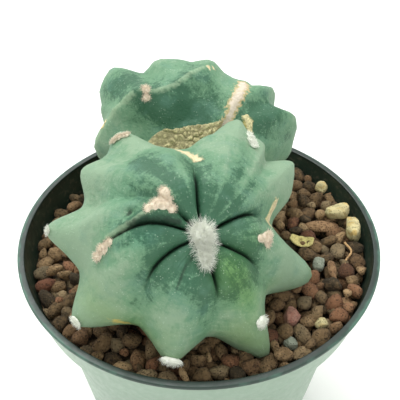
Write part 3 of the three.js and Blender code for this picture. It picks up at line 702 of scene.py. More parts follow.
def turned(shapes, first, second, degrees):
    """Shapes turned in the plane of two axes, each by its own angle."""
    cos, sin = np.cos(np.radians(degrees))[:, None], np.sin(np.radians(degrees))[:, None]
    out = shapes.copy()
    out[..., first] = shapes[..., first] * cos - shapes[..., second] * sin
    out[..., second] = shapes[..., first] * sin + shapes[..., second] * cos
    return out


def finished(name, bm, material, *, smooth=True):
    """A finished object from a bmesh, at the origin, with its place in its mesh."""
    bmesh.ops.recalc_face_normals(bm, faces=bm.faces[:])
    return shown(name, mesh_of(bm), material, smooth=smooth)


def shown(name, mesh, material, *, smooth=True):
    mesh.name = name
    mesh.materials.clear()
    mesh.materials.append(material)
    mesh.polygons.foreach_set("use_smooth", [smooth] * len(mesh.polygons))
    mesh.update()
    made = bpy.data.objects.new(name, mesh)
    bpy.context.scene.collection.objects.link(made)
    return made


def mark_points(mesh, name, values):
    attribute = mesh.attributes.new(name, "FLOAT", "POINT")
    attribute.data.foreach_set("value", np.asarray(values, np.float32))


def copies_of(bm, count):
    """Repeats the one shape in bm until there are count of it, each in its own run of vertices."""
    corners, sides, faces = len(bm.verts), len(bm.edges), len(bm.faces)
    made = 1
    while made < count:
        more = min(made, count - made)
        for part in (bm.verts, bm.edges, bm.faces):
            part.ensure_lookup_table()
        chosen = bm.verts[:more * corners] + bm.edges[:more * sides] + bm.faces[:more * faces]
        bmesh.ops.duplicate(bm, geom=chosen)
        made += more
    return corners


def combined(operation, first, others):
    """The mesh of the first object joined to, or cut by, the others."""
    scene = bpy.context.scene
    for other in others:
        modifier = first.modifiers.new("Join", "BOOLEAN")
        modifier.operation, modifier.solver, modifier.object = operation, "MANIFOLD", other
    bpy.context.view_layer.update()
    evaluated = first.evaluated_get(bpy.context.evaluated_depsgraph_get())
    mesh = bpy.data.meshes.new_from_object(evaluated)
    for used in (first, *others):
        scene.collection.objects.unlink(used)
        bpy.data.objects.remove(used)
    return mesh


def raw_object(bm):
    made = bpy.data.objects.new("shape", mesh_of(bm))
    bpy.context.scene.collection.objects.link(made)
    return made


def dress(made, node):
    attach(made, BODY)
    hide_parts(node)


def random_directions(draws, shape):
    out = draws.normal(size=(*shape, 3))
    return out / np.linalg.norm(out, axis=-1, keepdims=True)


class Finish:
    """A procedural material and the nodes that it is made of."""

    def __init__(self, name, roughness, **shader):
        self.material = bpy.data.materials.new(name)
        self.material.use_nodes = True
        self.tree = self.material.node_tree
        self.shader = self.tree.nodes["Principled BSDF"]
        self.shader.inputs["Roughness"].default_value = roughness
        for socket, value in shader.items():
            self.shader.inputs[socket.replace("_", " ")].default_value = value
        self.coordinates = self.node("ShaderNodeTexCoord").outputs["Object"]

    def node(self, kind, **values):
        made = self.tree.nodes.new(kind)
        for key, value in values.items():
            setattr(made, key, value)
        return made

    def put(self, socket, value):
        if isinstance(value, bpy.types.NodeSocket):
            self.tree.links.new(value, socket)
        elif isinstance(value, tuple) and len(value) == 3 and socket.type == "RGBA":
            socket.default_value = (*value, 1)
        else:
            socket.default_value = value

    def attribute(self, name, output="Fac"):
        return self.node("ShaderNodeAttribute", attribute_name=name).outputs[output]

    def stretched(self, coordinates, scale):
        made = self.node("ShaderNodeMapping")
        self.put(made.inputs["Vector"], coordinates)
        made.inputs["Scale"].default_value = scale
        return made.outputs["Vector"]

    def noise(self, size, detail=3.0, roughness=0.55, distortion=0.0, at=None):
        """Cloudy noise whose patches are about size metres across."""
        made = self.node("ShaderNodeTexNoise")
        self.put(made.inputs["Vector"], self.coordinates if at is None else at)
        made.inputs["Scale"].default_value = 1 / size
        made.inputs["Detail"].default_value = detail
        made.inputs["Roughness"].default_value = roughness
        made.inputs["Distortion"].default_value = distortion
        return made.outputs["Fac"]

    def cells(self, size):
        made = self.node("ShaderNodeTexVoronoi")
        self.put(made.inputs["Vector"], self.coordinates)
        made.inputs["Scale"].default_value = 1 / size
        return made.outputs["Distance"]

    def math(self, operation, first, second):
        made = self.node("ShaderNodeMath", operation=operation)
        self.put(made.inputs[0], first)
        self.put(made.inputs[1], second)
        return made.outputs[0]

    def span(self, value, start, end, low=0.0, high=1.0):
        """Value from start to end, smoothly turned into low to high."""
        made = self.node("ShaderNodeMapRange", interpolation_type="SMOOTHSTEP")
        for socket, given in zip(("Value", "From Min", "From Max", "To Min", "To Max"),
                                 (value, start, end, low, high)):
            self.put(made.inputs[socket], given)
        return made.outputs["Result"]

    def mix(self, share, first, second, blend="MIX"):
        made = self.node("ShaderNodeMix", data_type="RGBA", blend_type=blend)
        made.clamp_factor = True
        self.put(made.inputs["Factor"], share)
        colours = [socket for socket in made.inputs if socket.type == "RGBA"]
        self.put(colours[0], first)
        self.put(colours[1], second)
        return next(socket for socket in made.outputs if socket.type == "RGBA")

    def colour(self, value):
        self.put(self.shader.inputs["Base Color"], value)

    def roughness(self, value):
        self.put(self.shader.inputs["Roughness"], value)

    def bump(self, *layers):
        """Layers of height and depth in metres, laid over each other."""
        normal = None
        for height, depth in layers:
            made = self.node("ShaderNodeBump")
            made.inputs["Strength"].default_value = 1
            self.put(made.inputs["Distance"], depth)
            self.put(made.inputs["Height"], height)
            if normal is not None:
                self.put(made.inputs["Normal"], normal)
            normal = made.outputs["Normal"]
        self.put(self.shader.inputs["Normal"], normal)


def shade(colour, factor):
    return tuple(min(1.0, max(0.0, value * factor)) for value in colour)


# Finishes
def pot_plastic(chosen):
    finish = Finish("pot_plastic", 0.42)
    tone = finish.attribute("tone")
    cloud = finish.noise(14 * MM, 4)
    streaks = finish.noise(3 * MM, 3, at=finish.stretched(finish.coordinates, (1, 1, 0.12)))
    outside = finish.mix(finish.span(cloud, 0.35, 0.7), shade(chosen.outside, 0.94), tuple(chosen.outside))
    outside = finish.mix(finish.span(streaks, 0.5, 0.8, 0, 0.25), outside, shade(chosen.outside, 1.08))
    # The lip is painted dark at its inner edge and at the front and light on its outer edge at the sides: painted
    # shade and a painted highlight, with a little random change
    lip_light_and_shade = finish.math("ADD", finish.attribute("edge"), finish.span(finish.noise(5 * MM, 4), 0.3, 0.7, -0.2, 0.2))
    lip = finish.mix(finish.span(lip_light_and_shade, 0.05, 0.55), shade(chosen.lip, 0.2), shade(chosen.lip, 0.42))
    lip = finish.mix(finish.span(lip_light_and_shade, 0.5, 1.0), lip, shade(chosen.lip, 1.5))
    # Painted shade on the inner wall, with cloudy patches and dust
    inside = finish.mix(finish.span(cloud, 0.4, 0.75), tuple(chosen.inside), shade(chosen.inside, 1.6))
    dust = finish.math("MULTIPLY", finish.span(finish.noise(1.4 * MM, 5), 0.52, 0.72), 0.35)
    inside = finish.mix(dust, inside, linear(120, 108, 92))
    finish.colour(finish.mix(finish.span(tone, 0.55, 0.95), finish.mix(finish.span(tone, 0.05, 0.45), outside, lip),
                             inside))
    finish.roughness(finish.span(finish.noise(2.5 * MM, 4), 0.3, 0.7, 0.36, 0.52))
    finish.bump((finish.noise(0.5 * MM, 3), 0.00003), (cloud, 0.0002))
    return finish.material


def lava(chosen):
    finish = Finish("lava_grit", 0.95)
    tint, hue = finish.attribute("tint"), finish.attribute("hue")
    shade_of = finish.math("ADD", tint, finish.span(finish.noise(1.6 * MM, 5), 0.25, 0.75, -0.2, 0.2))
    grain = finish.mix(finish.span(shade_of, 0.0, 0.5), tuple(chosen.dark), tuple(chosen.brown))
    grain = finish.mix(finish.span(shade_of, 0.5, 1.05), grain, tuple(chosen.light))
    grain = finish.mix(finish.span(hue, 0.66, 0.95, 0, 0.42), grain, linear(144, 84, 60))
    grain = finish.mix(finish.span(hue, 0.25, 0.02, 0, 0.5), grain, linear(150, 134, 102))
    pores = finish.span(finish.cells(0.75 * MM), 0.12, 0.42)
    grain = finish.mix(finish.span(pores, 1.0, 0.0, 0, 0.6), grain, shade(chosen.dark, 0.6))
    crumbs = finish.span(finish.noise(0.45 * MM, 2), 0.6, 0.75, 0, 0.25)
    finish.colour(finish.mix(crumbs, grain, linear(206, 170, 140)))
    finish.bump((finish.noise(0.9 * MM, 5, 0.65), 0.0007), (pores, 0.00025))
    return finish.material


def rock(name, colour, vein):
    """Broken stone with a paler crust, darker pits and stains of another colour."""
    finish = Finish(name, 0.95)
    cloud = finish.noise(2.6 * MM, 5)
    base = finish.mix(finish.span(cloud, 0.35, 0.7), shade(colour, 0.78), shade(colour, 1.12))
    base = finish.mix(finish.span(finish.noise(4.2 * MM, 3, distortion=1.2), 0.52, 0.68, 0, 0.75), base, vein)
    pits = finish.span(finish.cells(0.8 * MM), 0.08, 0.34)
    base = finish.mix(finish.math("SUBTRACT", 1.0, pits), base, shade(colour, 0.42))
    finish.colour(base)
    finish.bump((finish.noise(0.7 * MM, 5, 0.65), 0.0006), (pits, 0.0002))
    return finish.material


def cactus_skin(chosen):
    finish = Finish("cactus_skin", 0.62, Specular_IOR_Level=0.32)
    polar, crest, fold = (finish.attribute(name) for name in ("polar", "crest", "fold"))
    on_old, low = finish.attribute("on_old"), finish.attribute("low")
    grain = finish.attribute("grain", "Vector")
    streaks = finish.noise(1.0, 5, 0.62, at=finish.stretched(grain, (0.9, 0.9, 0.28)))
    cross_streaks = finish.noise(1.0, 4, 0.6, at=finish.stretched(grain, (0.45, 0.45, 2.6)))
    cloud = finish.noise(9 * MM, 4, 0.6, 0.6)
    patches = finish.noise(3.2 * MM, 6, 0.65, 0.8)
    freckles = finish.noise(0.55 * MM, 3, 0.6)

    # How thick the waxy bloom lies, from bare young skin at 0 to thick old bloom at 1, with the painted shade and
    # light of the tone patches and the painted highlight on tubercles laid in
    bloom = finish.span(polar, 14, 78, 0.02, 0.74)
    young_share = finish.math("SUBTRACT", 1.0, on_old)
    for layer in (finish.span(crest, 0.15, 1.0, -0.14, 0.2),
                  finish.span(cloud, 0.25, 0.75, -0.18, 0.18),
                  finish.math("MULTIPLY", finish.span(streaks, 0.3, 0.7, -0.12, 0.12), young_share),
                  finish.attribute("tone"),
                  finish.span(patches, 0.3, 0.7, -0.12, 0.12),
                  finish.span(cross_streaks, 0.35, 0.7, -0.09, 0.09),
                  finish.span(freckles, 0.35, 0.65, -0.07, 0.07),
                  finish.attribute("shine")):
        bloom = finish.math("ADD", bloom, layer)
    skin = finish.mix(finish.span(bloom, 0.0, 0.42), tuple(chosen.young_skin), tuple(chosen.skin))
    skin = finish.mix(finish.span(bloom, 0.36, 0.95), skin, tuple(chosen.bloom))
    # Blue where bloom starts, yellow-green low on the lobes
    skin = finish.mix(finish.span(finish.noise(6.5 * MM, 4), 0.5, 0.72, 0, 0.35), skin, linear(92, 134, 116))
    green = finish.math("MULTIPLY", low, finish.span(finish.noise(11 * MM, 4), 0.38, 0.66))
    skin = finish.mix(finish.math("MULTIPLY", green, 0.6), skin, linear(116, 146, 96))
    warm = finish.attribute("warm")
    skin = finish.mix(finish.span(warm, 0.0, 1.0), skin, (0.95, 1.0, 0.6), "MULTIPLY")
    skin = finish.mix(finish.span(warm, 0.0, -1.0), skin, (0.74, 0.95, 1.0), "MULTIPLY")
    # Small flecks of thick wax
    flecks = finish.math("MULTIPLY", finish.span(finish.cells(0.8 * MM), 0.24, 0.12),
                         finish.span(patches, 0.44, 0.6))
    skin = finish.mix(finish.math("MULTIPLY", flecks, 0.42), skin, linear(184, 206, 184))
    # Painted shade along the creases
    skin = finish.mix(finish.span(fold, 0.25, 1.0, 0, 0.96), skin, tuple(chosen.fold))
    # Marks
    ragged = finish.span(finish.noise(1.3 * MM, 4), 0.3, 0.7, -0.16, 0.16)
    pale, cream, yellow, dark, cork, strip, strip_middle = (
        finish.span(finish.math("ADD", finish.attribute(kind), ragged), low, high)
        for kind, low, high in (("pale", 0.25, 0.9), ("cream", 0.3, 0.75), ("yellow", 0.25, 0.8),
                                ("dark", 0.3, 0.95), ("cork", 0.35, 0.65), ("strip", 0.34, 0.55),
                                ("strip", 0.52, 0.8)))
    skin = finish.mix(finish.math("MULTIPLY", pale, 0.5), skin, linear(162, 186, 152))
    # Painted shade on the dark marks and in the groove
    skin = finish.mix(finish.math("MULTIPLY", dark, 0.8), skin, tuple(chosen.fold))
    skin = finish.mix(finish.span(finish.attribute("groove"), 0.3, 1.0, 0, 0.75), skin, tuple(chosen.fold))
    skin = finish.mix(finish.math("MULTIPLY", yellow, 0.7), skin, linear(206, 184, 96))
    fibres = finish.noise(0.6 * MM, 5, 0.7)
    cork_colour = finish.mix(finish.span(fibres, 0.3, 0.72), shade(chosen.cork, 0.5), shade(chosen.cork, 1.25))
    grains = finish.attribute("grains")
    cork_colour = finish.mix(finish.span(grains, 0.75, 0.1, 0, 0.8), cork_colour, shade(chosen.cork, 0.36))
    skin = finish.mix(cork, skin, cork_colour)
    skin = finish.mix(strip, skin, finish.mix(finish.span(fibres, 0.3, 0.7), linear(158, 146, 104),
                                              linear(196, 178, 132)))
    skin = finish.mix(strip_middle, skin, finish.mix(finish.span(patches, 0.35, 0.65), linear(186, 176, 154),
                                                     linear(214, 202, 184)))
    skin = finish.mix(cream, skin, finish.mix(finish.span(fibres, 0.4, 0.7), linear(204, 186, 142),
                                              linear(230, 220, 188)))
    finish.colour(skin)
    finish.roughness(finish.span(bloom, 0.0, 1.0, 0.5, 0.72))
    finish.bump((patches, 0.0005), (finish.math("MULTIPLY", streaks, young_share), 0.0003), (freckles, 0.00012),
                (finish.math("MULTIPLY", fibres, cork), 0.0006))
    return finish.material


def wool_felt(name, fresh, aged):
    finish = Finish(name, 1.0, Specular_IOR_Level=0.2)
    cloud = finish.noise(1.1 * MM, 4)
    felt = finish.mix(finish.span(cloud, 0.35, 0.68), aged, fresh)
    lint = finish.span(finish.noise(0.22 * MM, 3), 0.35, 0.65)
    finish.colour(finish.mix(lint, shade(aged, 0.95), felt))
    finish.bump((finish.noise(0.3 * MM, 4, 0.7), 0.00012))
    return finish.material


def dry_fibre(name, colour, dark):
    finish = Finish(name, 0.85)
    fibres = finish.noise(0.5 * MM, 5, 0.7)
    stain = finish.span(finish.noise(2.4 * MM, 3, distortion=1.5), 0.5, 0.66)
    tone = finish.mix(finish.span(fibres, 0.3, 0.7), shade(colour, 0.7), shade(colour, 1.15))
    finish.colour(finish.mix(finish.math("MULTIPLY", stain, 0.7), tone, dark))
    finish.bump((fibres, 0.0003))
    return finish.material


# Operators
def pot_wall(chosen):
    """The pot's section, with its corners rounded, turned once round."""
    floor_top = FOOT_RING_HEIGHT + WALL
    profile = [
        (0, FOOT_RING_HEIGHT),
        (BODY_FOOT_RADIUS - FOOT_RING_WIDTH, FOOT_RING_HEIGHT),
        (BODY_FOOT_RADIUS - FOOT_RING_WIDTH, 0),
        (BODY_FOOT_RADIUS, 0),
        (BODY_TOP_RADIUS, COLLAR_FOOT),
        (COLLAR_FOOT_RADIUS, COLLAR_FOOT),
        (COLLAR_TOP_RADIUS, LIP_FOOT),
        (RIM_RADIUS, LIP_FOOT + LIP_ROUND / 2),
        (RIM_RADIUS, POT_HEIGHT),
        (RIM_RADIUS - LIP_WIDTH, POT_HEIGHT),
        (RIM_RADIUS - LIP_WIDTH, POT_HEIGHT - LIP_HEIGHT / 2),
        (COLLAR_TOP_RADIUS - WALL, LIP_FOOT - WALL),
        (COLLAR_FOOT_RADIUS - WALL, COLLAR_FOOT + WALL),
        (BODY_TOP_RADIUS - WALL, COLLAR_FOOT + WALL),
        (BODY_FOOT_RADIUS - WALL, floor_top),
        (0, floor_top),
    ]
    bm = bmesh.new()
    off_axis = [corner for corner, (radius, _) in zip(drawn_line(bm, profile), profile) if radius > 0]
    bmesh.ops.bevel(bm, geom=off_axis, offset=chosen.corner_round, offset_type="OFFSET", segments=3,
                    profile=0.5, affect="VERTICES", material=-1, clamp_overlap=True)
    spun(bm, chosen.sides)
    bmesh.ops.recalc_face_normals(bm, faces=bm.faces[:])
    return bm


def drain_drills():
    drills = bmesh.new()
    for hole in range(DRAIN_HOLES):
        angle = hole * math.tau / DRAIN_HOLES
        middle = (DRAIN_CIRCLE_RADIUS * MM * math.cos(angle), DRAIN_CIRCLE_RADIUS * MM * math.sin(angle), 0)
        bmesh.ops.create_cone(drills, cap_ends=True, segments=DRAIN_HOLE_SIDES, radius1=DRAIN_HOLE_RADIUS * MM,
                              radius2=DRAIN_HOLE_RADIUS * MM, depth=DRILL_DEPTH * MM,
                              matrix=Matrix.Translation(middle))
    return drills


def mark_pot(mesh):
    """Marks the inner wall at 1 and the lip at 0.5, and how near the lip's outer edge a point lies, more at the sides
    than at the front, for the lip's painted highlight and painted shade.
    """
    places = mesh_places(mesh)
    radius, height = np.hypot(places[:, 0], places[:, 1]), places[:, 2]
    middle = np.interp(height, [0, COLLAR_FOOT, COLLAR_FOOT + 0.01, LIP_FOOT, POT_HEIGHT],
                       [BODY_FOOT_RADIUS - WALL / 2, BODY_TOP_RADIUS - WALL / 2, COLLAR_FOOT_RADIUS - WALL / 2,
                        COLLAR_TOP_RADIUS - WALL / 2, COLLAR_TOP_RADIUS - WALL / 2])
    inside = (radius < middle) & (height > FOOT_RING_HEIGHT + WALL / 2)
    on_shelf = (abs(height - COLLAR_FOOT - WALL) < 0.5) & (radius < COLLAR_FOOT_RADIUS - WALL / 2)
    tone = np.where(inside | on_shelf, 1.0, 0.0)
    tone[(height > LIP_FOOT - 0.05) & (radius > RIM_RADIUS - LIP_WIDTH - 0.01)] = 0.5
    mark_points(mesh, "tone", tone)
    # The lip's painted highlight is strongest at the sides and weakest at the front
    side = 0.45 + 0.55 * np.abs(places[:, 0]) / RIM_RADIUS
    mark_points(mesh, "edge", smooth_step(RIM_RADIUS - LIP_WIDTH, RIM_RADIUS, radius) * side)


class CACTUS_OT_pot(bpy.types.Operator):
    """Turns the plastic pot, with its rolled lip, stepped collar and drained foot"""
    bl_idname = "cactus.pot"
    bl_label = "Pot"

    def execute(self, context):
        chosen = settings("pot")
        mesh = combined("DIFFERENCE", raw_object(pot_wall(chosen)), [raw_object(drain_drills())])
        made = shown("pot_shell", mesh, pot_plastic(chosen))
        mark_pot(mesh)
        dress(made, "pot")
        return {"FINISHED"}


def grain_places(chosen, draws):
    """Seeded places and sizes of the grit's grains in layers, clear of the heads and of the litter."""
    kept = []
    litter = [(middle, size) for middle, size, _, _ in MARKED_STONES]
    litter += [(stone["middle"], stone["size"]) for stone in LOOSE_STONES.values()]
    blocked = np.array([(*Vector(middle)[:2], (max(size) / 2 + min(size) / 2) / 2) for middle, size in litter])
    for height, spread, tries, packing, clear_of_litter in GRIT_LAYERS:
        places, radii = np.zeros((0, 2)), np.zeros(0)
        sizes = chosen.smallest / MM + (chosen.largest - chosen.smallest) / MM * draws.random(tries) ** 1.4
        sizes = np.sort(sizes)[::-1]
        reach = (GRIT_REACH - 0.9 * sizes) * np.sqrt(draws.random(tries))
        around = draws.random(tries) * math.tau
        lift = height + (draws.random(tries) - 0.5) * spread + GRIT_TILT * reach * np.cos(around)
        tried = np.column_stack([reach * np.cos(around), reach * np.sin(around), lift])
        inside = is_inside_heads(tried, sizes * CLEAR_OF_SKIN)
        for i in np.flatnonzero(~inside):
            size, place = sizes[i], tried[i]
            if np.any(np.hypot(*(places - place[:2]).T) < packing * (radii + size)):
                continue
            from_litter = np.hypot(*(blocked[:, :2] - place[:2]).T)
            if clear_of_litter and np.any(from_litter < CLEAR_OF_LITTER * (blocked[:, 2] + size)):
                continue
            places = np.vstack([places, place[:2]])
            radii = np.append(radii, size)
            kept.append((*place, size))
    return np.array(kept)


def broken_balls(balls, draws):
    """Each ball drawn in towards its own broken faces."""
    count = len(balls)
    faces = random_directions(draws, (count, GRAIN_FACES))
    heights = 0.6 + 0.4 * draws.random((count, GRAIN_FACES))
    facing = np.maximum(0, np.einsum("gvi,gfi->gvf", balls, faces)) / heights[:, None, :]
    reach = (np.sum(facing ** GRAIN_EDGE_POWER, -1) + 0.2) ** (-1 / GRAIN_EDGE_POWER)
    waves = random_directions(draws, (count, 3)) * 3.2
    phases = draws.random((count, 3)) * math.tau
    reach = reach * (1 + 0.06 * np.sin(np.einsum("gvi,gwi->gvw", balls, waves) + phases[:, None]).sum(-1))
    return balls * reach[..., None]


def kept_in_pot(places):
    """Places of the grains, drawn in where they would reach through the collar."""
    out = np.hypot(places[:, 0], places[:, 1])
    collar_slope = (COLLAR_TOP_RADIUS - COLLAR_FOOT_RADIUS) / (COLLAR_HEIGHT - LIP_HEIGHT)
    wall = COLLAR_FOOT_RADIUS - WALL - GRAIN_GAP + collar_slope * (places[:, 2] - (COLLAR_FOOT + WALL))
    places[:, :2] *= np.minimum(1, wall / np.maximum(out, 1e-6))[:, None]
    return places


def bed_shape():
    """The bed under the grains, which fills the pot to its floor."""
    floor, shelf = FOOT_RING_HEIGHT + WALL + BED_GAP, COLLAR_FOOT + WALL + BED_GAP
    bed = bmesh.new()
    drawn_line(bed, [
        (0, floor),
        (BODY_FOOT_RADIUS - WALL - BED_GAP, floor),
        (BODY_TOP_RADIUS - WALL - BED_GAP, shelf),
        (COLLAR_FOOT_RADIUS - WALL - BED_GAP, shelf),
        (COLLAR_FOOT_RADIUS - WALL - BED_TOP_GAP, BED_TOP),
        (0, BED_TOP),
    ])
    spun(bed, BED_SIDES)
    return bed


class CACTUS_OT_grit(bpy.types.Operator):
    """Fills the pot with lava grit, as grains heaped over a plain bed"""
    bl_idname = "cactus.grit"
    bl_label = "Grit"

    def execute(self, context):
        chosen = settings("grit")
        draws = np.random.default_rng(chosen.seed)
        grains = grain_places(chosen, draws)
        loose, marked = len(grains), len(MARKED_STONES)
        marked_middles, marked_sizes, marked_turns, marked_shades = zip(*MARKED_STONES)
        bm = bmesh.new()
        bmesh.ops.create_icosphere(bm, subdivisions=2, radius=1)
        corners = copies_of(bm, loose + marked)
        shapes = broken_balls(places_of(bm).reshape(loose + marked, corners, 3), draws)

        squeeze = np.column_stack([low + spread * draws.random(loose) for low, spread in GRAIN_SQUEEZE])
        sizes = np.vstack([squeeze * grains[:, 3:4], np.array(marked_sizes) / 2])
        middles = np.vstack([grains[:, :3], marked_middles])
        turns = np.append(draws.random(loose) * 360, marked_turns)
        tilts = np.append((draws.random(loose) - 0.5) * GRAIN_TILTS, np.zeros(marked))
        tint = np.append(np.clip(0.42 + 0.2 * draws.normal(size=loose), 0, 1), marked_shades)
        hue = np.append(draws.random(loose), np.where(np.arange(marked) < REDDER_MARKED_STONES, 0.8, 0.5))
        shapes = turned(turned(shapes * sizes[:, None, :], 2, 0, tilts), 0, 1, turns)
        move_all(bm, kept_in_pot((shapes + middles[:, None, :]).reshape(-1, 3)) * MM)

        grain_corners = len(bm.verts)
        add_shape(bm, bed_shape())
        made = finished("lava_grains", bm, lava(chosen))
        bed_corners = len(made.data.vertices) - grain_corners
        # The bed is coloured darker than any grain: painted shade in the gaps between the grains
        mark_points(made.data, "tint", np.append(np.repeat(tint, corners), np.full(bed_corners, -0.1)))
        mark_points(made.data, "hue", np.append(np.repeat(hue, corners), np.full(bed_corners, 0.5)))
        dress(made, "gravel")
        return {"FINISHED"}


def head_shape(head, chosen):
    """A ball whose columns follow the furrows and crests, moved out to the head's skin."""
    per_rib, rows = head["columns_per_rib"], head["rows"]
    columns = per_rib * len(head["ribs"])
    bm = bmesh.new()
    bmesh.ops.create_uvsphere(bm, u_segments=columns, v_segments=rows, radius=1)
    ball = places_of(bm)
    row = np.rint(np.degrees(np.arccos(np.clip(ball[:, 2], -1, 1))) / 180 * rows)
    around = np.mod(np.degrees(np.arctan2(ball[:, 1], ball[:, 0])), 360)
    column = np.rint(around / 360 * columns).astype(int) % columns
    polar = 180 * (row / rows) ** ROW_SPREAD
    across = (column % per_rib) / per_rib
    azimuth = np.zeros(len(ball))
    for rib in range(len(head["ribs"])):
        start, crest, end, _ = rib_edges(head, polar, rib)
        rising = start + (crest - start) * np.abs(2 * across) ** COLUMN_SPREAD
        falling = end - (end - crest) * np.abs(2 - 2 * across) ** COLUMN_SPREAD
        azimuth = np.where(column // per_rib == rib, np.where(across < 0.5, rising, falling), azimuth)
    azimuth = np.where((row == 0) | (row == rows), 0, azimuth)
    centre, turn = head_frame(head)
    reach = head_radius(head, polar, azimuth)
    skin = (reach[:, None] * direction(polar, azimuth)) @ turn.T + centre
    waves = np.array([noise.noise(Vector(p) / WAVE_LENGTH)
                      + SMALL_WAVE_SHARE * noise.noise(Vector(p) / SMALL_WAVE_LENGTH) for p in skin])
    reach = reach + chosen.relief / MM * (waves - RELIEF_SINK)
    if head is OLD_STEM:
        scar = scar_share(polar, azimuth)
        reach = reach + chosen.grain_height / MM * scar * (grain_height(skin) - SCAR_GRAIN_SINK)
    skin = (reach[:, None] * direction(polar, azimuth)) @ turn.T + centre
    move_all(bm, skin * MM)
    return raw_object(bm)


def grain_height(points):
    """Rounded cork grains, from 0 between them to 1 on top."""
    heights = np.zeros(len(points))
    for i, point in enumerate(points):
        near, next_near = noise.voronoi(Vector(point) / SCAR_GRAIN_SIZE)[0][:2]
        heights[i] = min(1.0, (next_near - near) * SCAR_GRAIN_STEEPNESS)
    return heights


def scar_share(polar, azimuth):
    """1 on the old stem's corked growing point, fading to 0 round it."""
    azimuth = np.radians(azimuth)
    above = polar * np.sin(azimuth) - np.interp(polar * np.cos(azimuth), *zip(*SCAR_EDGE))
    far = smooth_step(SCAR_REACH - SCAR_REACH_FADE, SCAR_REACH + SCAR_REACH_FADE, polar)
    return (1 - smooth_step(-SCAR_EDGE_FADE, SCAR_EDGE_FADE, above)) * (1 - far)


def root_shape():
    bm = bmesh.new()
    drawn_line(bm, ROOT_PROFILE, ROOT_MIDDLE)
    spun(bm, ROOT_SIDES, ROOT_MIDDLE)
    bmesh.ops.recalc_face_normals(bm, faces=bm.faces[:])
    return raw_object(bm)


def mark_skin(mesh):
    """Writes on each point of the skin where it lies on its rib and what marks it bears."""
    places = mesh_places(mesh)
    found = [head_place(head, places) for head in HEADS.values()]
    off = np.stack([np.abs(reach - head_radius(head, polar, azimuth))
                    for head, (polar, azimuth, reach) in zip(HEADS.values(), found)])
    on_old = np.argmin(off, 0) == 1
    columns = {name: np.zeros(len(places)) for name in
               ("polar", "crest", "fold", "shine", "low", "grains", "tone", "warm")}
    columns["on_old"] = on_old.astype(float)
    marks = {kind: np.zeros(len(places)) for kind in MARK_KINDS}
    grain = np.zeros((len(places), 3))
    for number, (name, head) in enumerate(HEADS.items()):
        here = on_old == (name == "old")
        polar, azimuth, _ = (part[here] for part in found[number])
        up, _, crease, off = place_on_rib(head, polar, azimuth)
        towards = direction(polar, azimuth)
        if name == "young":
            columns["polar"][here], columns["crest"][here] = polar, up
            columns["low"][here] = smooth_step(*GREEN_BETWEEN, places[here][:, 2])
        else:
            columns["polar"][here] = OLD_AGE + polar * OLD_AGE_PER_DEGREE
            columns["crest"][here] = OLD_CREST + (up - OLD_CREST) * smooth_step(*OLD_CRESTS_SHOW_BETWEEN, polar)
        # Painted shade along each crease: a narrow dark line and a wider shaded band
        columns["fold"][here] = crease * sum(share * np.exp(-(off / wide) ** 2) for share, wide in FOLD_SHADE_LINES)
        # Tone patches carry painted shade and painted light as well as mottling; hue patches are the skin's own colour
        for column, patches in (("tone", SKIN_TONES_AND_SHADE), ("warm", SKIN_HUES)):
            for middle_polar, middle_azimuth, spread, change in patches[name]:
                nearness = towards @ direction(middle_polar, middle_azimuth)
                degrees_off = np.degrees(np.arccos(np.clip(nearness, -1, 1)))
                columns[column][here] += change * np.exp(-(degrees_off / spread) ** 2)
        # Painted highlight on the tubercles, paler the higher they stand
        shine = sum(tubercle_height(tubercle, towards) / FULL_HIGHLIGHT_HEIGHT for tubercle in head["tubercles"])
        columns["shine"][here] = np.clip(shine, 0, 1) * TUBERCLE_HIGHLIGHT_STRENGTH
        for kind, wide, path in SKIN_MARKS[name]:
            share = path_share([(*point, 1) for point in path], wide, towards, min(MARK_ROUND, wide / 2))
            marks[kind][here] = np.maximum(marks[kind][here], share)
        ring, round_axis = STREAK_RING * (1 + number), np.radians(azimuth)
        grain[here] = np.column_stack([ring * np.cos(round_axis), ring * np.sin(round_axis),
                                       np.radians(polar) * STREAK_RISE + STREAKS_APART * number])
    polar, azimuth, _ = (part[on_old] for part in found[1])
    scar = scar_share(polar, azimuth)
    marks["cork"][on_old] = np.maximum(marks["cork"][on_old], scar)
    columns["grains"][:] = 1
    columns["grains"][on_old] = 1 - scar * (1 - grain_height(places[on_old]))
    for kind, values in {**columns, **marks}.items():
        mark_points(mesh, kind, values)
    attribute = mesh.attributes.new("grain", "FLOAT_VECTOR", "POINT")
    attribute.data.foreach_set("vector", grain.astype(np.float32).ravel())


class CACTUS_OT_cactus(bpy.types.Operator):
    """Grows the old stem, the young head and the root as one skin"""
    bl_idname = "cactus.cactus"
    bl_label = "Cactus"

    def execute(self, context):
        chosen = settings("cactus")
        young, old = head_shape(YOUNG_HEAD, chosen), head_shape(OLD_STEM, chosen)
        mesh = combined("UNION", young, [old, root_shape()])
        if len(mesh.polygons) < FEWEST_SKIN_FACES:
            raise RuntimeError("the heads could not be joined")
        mark_skin(mesh)
        made = shown("cactus_skin", mesh, cactus_skin(chosen))
        dress(made, "cactus")
        return {"FINISHED"}


def pad_frame(head, polar, azimuth):
    """Middle of a pad on the skin, and its across, along and outward directions."""
    _, turn = head_frame(head)

    def on_skin(more_polar=0.0, more_azimuth=0.0):
        return head_point(head, np.array([polar + more_polar]), np.array([azimuth + more_azimuth]))[0]

    here = on_skin()
    up, down = on_skin(PAD_STEP), on_skin(-PAD_STEP)
    wide = PAD_STEP / max(0.12, math.sin(math.radians(polar)))
    left, right = on_skin(0, wide), on_skin(0, -wide)
    out = turn @ direction(polar, azimuth)
    if polar > 5:
        normal = np.cross(up - down, left - right)
        normal = normal / np.linalg.norm(normal)
        normal = normal if normal @ out > 0 else -normal
        out = out * 0.5 + normal * 0.5
        out /= np.linalg.norm(out)
    along = turn @ direction(polar + 90, azimuth)
    along -= (along @ out) * out
    along /= np.linalg.norm(along)
    return here, np.cross(along, out), along, out


